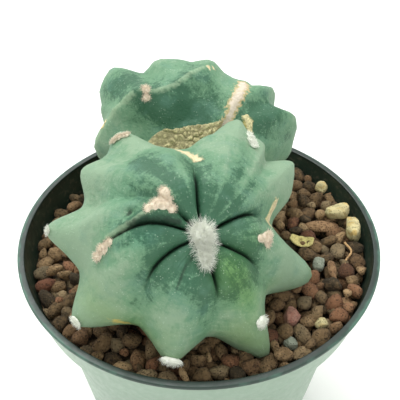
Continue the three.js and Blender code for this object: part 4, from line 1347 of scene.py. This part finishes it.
def felted(bm):
    """The pads as one closed lump of felt with a lumpy surface."""
    lump = raw_object(bm)
    remesh = lump.modifiers.new("Felt", "REMESH")
    remesh.mode, remesh.voxel_size = "VOXEL", FELT_VOXEL * MM
    mesh = combined("UNION", lump, [])
    bm = bmesh.new()
    bm.from_mesh(mesh)
    bmesh.ops.smooth_vert(bm, verts=bm.verts[:], factor=0.5, use_axis_x=True, use_axis_y=True, use_axis_z=True)
    bm.normal_update()
    places = places_of(bm)
    out = np.array([v.normal for v in bm.verts])
    lumps = np.array([0.16 * noise.noise(Vector(p) / (0.9 * MM)) + 0.1 * noise.noise(Vector(p) / (0.4 * MM))
                      for p in places])
    move_all(bm, places + out * (lumps * MM)[:, None])
    return bm


def felt_pads(pads, frames):
    """The pads of a tuft, each lumpy in its own way, as one felt."""
    bm = bmesh.new()
    for (polar, azimuth, wide, long, high), (middle, across, along, out) in zip(pads, frames):
        pad = bmesh.new()
        bmesh.ops.create_uvsphere(pad, u_segments=36, v_segments=18, radius=1)
        ball = places_of(pad)
        edge = 1 + 0.16 * np.array([noise.noise(Vector(p) * 2.4 + Vector((polar, azimuth, 0))) for p in ball])
        lumps = np.array([noise.noise(Vector(p) * 6 + Vector((azimuth, polar, 0))) for p in ball])
        ball[:, :2] *= edge[:, None]
        ball *= (1 + 0.1 * lumps)[:, None]
        local = ball * (wide / 2, long / 2, high * WOOL_PAD_HEIGHT)
        move_all(pad, (local @ np.array([across, along, out]) + middle) * MM)
        add_shape(bm, pad)
    return felted(bm)


def placed_hairs(strands, pad, frame, chosen, draws, hair_length, fan):
    """Strands moved out onto one pad, leaning away from its middle and bent a little."""
    amount = len(strands)
    _, _, wide, long, high = pad
    middle, across, along, out = frame
    off = np.sqrt(draws.random(amount)) * 1.02
    turn = draws.random(amount) * math.tau
    x, y = off * np.cos(turn), off * np.sin(turn)
    rise = np.sqrt(np.maximum(0, 1 - np.minimum(off, 1) ** 2)) * high * WOOL_PAD_HEIGHT * 0.9
    root = middle + np.outer(x * wide / 2, across) + np.outer(y * long / 2, along) + np.outer(rise, out)
    lean = np.radians(fan) * off + 0.3 * draws.normal(size=amount)
    sway = draws.normal(size=(amount, 3)) * 0.22
    aim = (np.outer(np.cos(lean), out) + (np.sin(lean) * np.cos(turn))[:, None] * across
           + (np.sin(lean) * np.sin(turn))[:, None] * along + sway)
    aim /= np.linalg.norm(aim, axis=1, keepdims=True)
    side = np.cross(aim, draws.normal(size=(amount, 3)))
    side /= np.linalg.norm(side, axis=1, keepdims=True)
    other = np.cross(aim, side)
    length = hair_length * (0.55 + 0.6 * draws.random(amount))
    bend = length * 0.22 * draws.normal(size=amount)
    radius = chosen.hair_radius / MM
    curve = bend[:, None] * strands[..., 2] ** 2
    return (root[:, None] + (strands[..., 2] * length[:, None])[..., None] * aim[:, None]
            + (strands[..., 0] * radius + curve)[..., None] * side[:, None]
            + (strands[..., 1] * radius)[..., None] * other[:, None])


def wool_tuft(head, pads, chosen, draws, hairs_per_pad, hair_length, fan):
    """Felted pads with fine hairs standing out of them."""
    frames = [pad_frame(head, polar, azimuth) for polar, azimuth, *_ in pads]
    bm = felt_pads(pads, frames)
    hairs = bmesh.new()
    create_strand(hairs, sides=3, tip=0.25, cuts=2)
    areas = np.array([wide * long for _, _, wide, long, _ in pads])
    counts = np.rint(hairs_per_pad * areas / areas.max()).astype(int)
    corners = copies_of(hairs, int(counts.sum()))
    strands = np.split(places_of(hairs).reshape(-1, corners, 3), np.cumsum(counts)[:-1])
    placed = [placed_hairs(*group, chosen, draws, hair_length, fan) for group in zip(strands, pads, frames)]
    move_all(hairs, np.concatenate(placed).reshape(-1, 3) * MM)
    add_shape(bm, hairs)
    return bm


class CACTUS_OT_wool(bpy.types.Operator):
    """Felts the wool of the areoles, with fine hairs"""
    bl_idname = "cactus.wool"
    bl_label = "Wool"

    def execute(self, context):
        chosen = settings("wool")
        draws = np.random.default_rng(chosen.seed)
        fresh = wool_felt("fresh_wool", tuple(chosen.white), linear(238, 242, 228))
        aged = wool_felt("aged_wool", linear(226, 206, 188), tuple(chosen.aged))
        on_crown = (HAIRS_ON_CROWN, chosen.crown_hair / MM, CROWN_FAN)
        on_tuft = (HAIRS_ON_TUFT, chosen.tuft_hair / MM, TUFT_FAN)
        for head, tufts in TUFTS.items():
            for name, pads in tufts.items():
                bm = wool_tuft(HEADS[head], pads, chosen, draws, *(on_crown if name == "crown" else on_tuft))
                made = shown("tuft_" + name, mesh_of(bm), aged if name in AGED_TUFTS else fresh)
                dress(made, "wool_" + name)
        return {"FINISHED"}


def stone_shape(stone, seed):
    """A broken block with its corners drawn in, then weathered."""
    draws = np.random.default_rng(seed)
    bm = bmesh.new()
    bmesh.ops.create_cube(bm, size=2)
    bmesh.ops.subdivide_edges(bm, edges=bm.edges[:], cuts=13, use_grid_fill=True)
    block = places_of(bm)
    ball = block / np.linalg.norm(block, axis=1, keepdims=True)
    softened = block / (np.sum(np.abs(block) ** 5, 1) ** (1 / 5))[:, None]
    roundness = 0.25 + 0.7 * stone["round"]
    shape = softened * (1 - roundness) + ball * roundness * 1.04
    cuts = random_directions(draws, (STONE_FACES,))
    depth = 0.74 + 0.26 * draws.random(STONE_FACES)
    facing = np.maximum(0, ball @ cuts.T) * np.linalg.norm(shape, axis=1)[:, None] / depth
    shape = shape / np.maximum(1, (facing ** STONE_EDGE_POWER).sum(1) ** (1 / STONE_EDGE_POWER))[:, None]
    shift = Vector(draws.random(3) * 50)
    rough = np.array([0.09 * noise.noise(Vector(p) * 1.6 + shift) + 0.05 * noise.noise(Vector(p) * 4.5 + shift)
                      + 0.025 * noise.noise(Vector(p) * 11 + shift) for p in ball])
    shape = shape * (0.96 + rough)[:, None] * (np.array(stone["size"]) / 2)
    move_all(bm, (shape @ flat_turn(stone["turn"]) + stone["middle"]) * MM)
    return bm


class CACTUS_OT_stones(bpy.types.Operator):
    """Breaks the loose stones that lie on the grit"""
    bl_idname = "cactus.stones"
    bl_label = "Loose stones"

    def execute(self, context):
        chosen = settings("litter")
        rocks = {
            "pumice": rock("pumice", tuple(chosen.pumice), linear(190, 158, 84)),
            "pink": rock("pink_stone", tuple(chosen.pink), linear(160, 104, 88)),
            "grey": rock("grey_stone", tuple(chosen.grey), linear(116, 132, 116)),
        }
        for seed, (name, stone) in enumerate(LOOSE_STONES.items(), FIRST_STONE_SEED):
            made = finished("loose_" + name, stone_shape(stone, seed), rocks[stone["rock"]])
            dress(made, name)
        return {"FINISHED"}


def route_point(route, share):
    """A point on the smooth curve through the route, with share from 0 to 1."""
    points = [np.array(point, float) for point in route]
    points = [2 * points[0] - points[1], *points, 2 * points[-1] - points[-2]]
    place = min(share * (len(route) - 1), len(route) - 1 - 1e-9)
    i, t = int(place), place - int(place)
    a, b, c, d = points[i:i + 4]
    return 0.5 * (2 * b + (c - a) * t + (2 * a - 5 * b + 4 * c - d) * t ** 2 + (3 * b - a - 3 * c + d) * t ** 3)


def rootlet_shape():
    bm = bmesh.new()
    create_strand(bm, sides=ROOTLET_SIDES, tip=1, cuts=ROOTLET_STEPS - 1)
    tube = places_of(bm)
    placed = np.zeros_like(tube)
    for i, (x, y, along) in enumerate(tube):
        middle = route_point(ROOTLET_ROUTE, along)
        ahead = route_point(ROOTLET_ROUTE, min(1, along + 0.01)) - route_point(ROOTLET_ROUTE, max(0, along - 0.01))
        ahead /= np.linalg.norm(ahead)
        side = np.cross(ahead, (0, 0, 1.0))
        side /= np.linalg.norm(side)
        radius = ROOTLET_RADIUS * (1 - 0.45 * along) * (1 + 0.18 * noise.noise(Vector(middle) * 1.7))
        placed[i] = middle + radius * (x * side + y * np.cross(side, ahead))
    move_all(bm, placed * MM)
    return bm


def husk_shape():
    """A pointed flake with a ragged edge, curled up at its ends."""
    bm = bmesh.new()
    bmesh.ops.create_grid(bm, x_segments=28, y_segments=14, size=1)
    flake = places_of(bm)
    along, across = flake[:, 0], flake[:, 1] * (1 - 0.45 * flake[:, 0] ** 2)
    ragged = np.array([noise.noise(Vector((a * 2.3, b * 2.3, 4))) for a, b in zip(along, across)])
    lift = HUSK["curl"] * along ** 2 + 0.9 * across ** 2 + 0.5 * across * along + 0.35 * ragged
    local = np.column_stack([along * HUSK["size"][0] / 2, across * HUSK["size"][1] / 2 * (1 + 0.2 * ragged), lift])
    move_all(bm, (local @ flat_turn(HUSK["turn"]) + HUSK["middle"]) * MM)
    bmesh.ops.recalc_face_normals(bm, faces=bm.faces[:])
    bmesh.ops.solidify(bm, geom=bm.faces[:], thickness=HUSK_THICKNESS * MM)
    return bm


class CACTUS_OT_scraps(bpy.types.Operator):
    """Lays the dead rootlet and the dry husk on the grit"""
    bl_idname = "cactus.scraps"
    bl_label = "Scraps"

    def execute(self, context):
        chosen = settings("litter")
        dead_root = dry_fibre("dead_root", tuple(chosen.rootlet), linear(120, 84, 56))
        dress(finished("dry_rootlet", rootlet_shape(), dead_root), "rootlet")
        husk = dry_fibre("husk", tuple(chosen.husk), linear(98, 78, 44))
        dress(finished("dry_husk", husk_shape(), husk), "husk")
        return {"FINISHED"}


class CACTUS_OT_stage(bpy.types.Operator):
    """Sets the pale floor, the soft light and the camera"""
    bl_idname = "cactus.stage"
    bl_label = "Stage"

    def execute(self, context):
        chosen = settings("stage")
        scene = context.scene
        scene.view_settings.view_transform = "Standard"
        bm = bmesh.new()
        bmesh.ops.create_grid(bm, x_segments=1, y_segments=1, size=3)
        paper = Finish("floor_paper", 0.9)
        paper.colour(paper.mix(paper.span(paper.noise(0.3), 0.3, 0.7), tuple(chosen.floor), shade(chosen.floor, 0.99)))
        floor = finished("floor", bm, paper.material, smooth=False)

        world = bpy.data.worlds.new("studio")
        world.use_nodes = True
        scene.world = world
        background = world.node_tree.nodes["Background"]
        background.inputs["Color"].default_value = (1, 1, 0.99, 1)
        background.inputs["Strength"].default_value = chosen.sky_strength

        for name, place, size, share in LAMPS:
            lamp = bpy.data.lights.new(name, "AREA")
            lamp.shape, lamp.size, lamp.energy = "SQUARE", size, chosen.lamp_power * share
            made = bpy.data.objects.new(name, lamp)
            made.location = place
            aim = Vector(LAMPS_AIM_AT) - made.location
            made.rotation_euler = aim.to_track_quat("-Z", "Y").to_euler()
            scene.collection.objects.link(made)

        camera = bpy.data.cameras.new("camera")
        camera.lens, camera.sensor_width = CAMERA_LENS, SENSOR_WIDTH
        made = bpy.data.objects.new("camera", camera)
        made.location = [part * MM for part in CAMERA_PLACE]
        made.rotation_euler = (math.radians(90 - CAMERA_DOWN), 0, 0)
        scene.collection.objects.link(made)
        scene.camera = made
        return {"FINISHED"}


class CACTUS_PT_panel(bpy.types.Panel):
    """Lists the pieces of the potted cactus"""
    bl_label = "Potted cactus"
    bl_idname = "CACTUS_PT_panel"
    bl_space_type = "VIEW_3D"
    bl_region_type = "UI"
    bl_category = "Cactus"

    def draw(self, context):
        for name, group in SETTINGS.items():
            box = self.layout.box()
            for key in group.__annotations__:
                box.prop(settings(name), key)
        for operator in OPERATORS:
            self.layout.operator(operator.bl_idname)


OPERATORS = (CACTUS_OT_stage, CACTUS_OT_pot, CACTUS_OT_grit, CACTUS_OT_cactus, CACTUS_OT_wool, CACTUS_OT_stones,
             CACTUS_OT_scraps)
CLASSES = (*SETTINGS.values(), *OPERATORS, CACTUS_PT_panel)


def register():
    for made in CLASSES:
        bpy.utils.register_class(made)
    for name, group in SETTINGS.items():
        setattr(bpy.types.Scene, "cactus_" + name, PointerProperty(type=group))


def unregister():
    for name in SETTINGS:
        delattr(bpy.types.Scene, "cactus_" + name)
    for made in reversed(CLASSES):
        bpy.utils.unregister_class(made)


def main():
    register()
    for operator in OPERATORS:
        _, name = operator.bl_idname.split(".")
        getattr(bpy.ops.cactus, name)()
    bpy.context.view_layer.update()


if __name__ == "__main__":
    main()
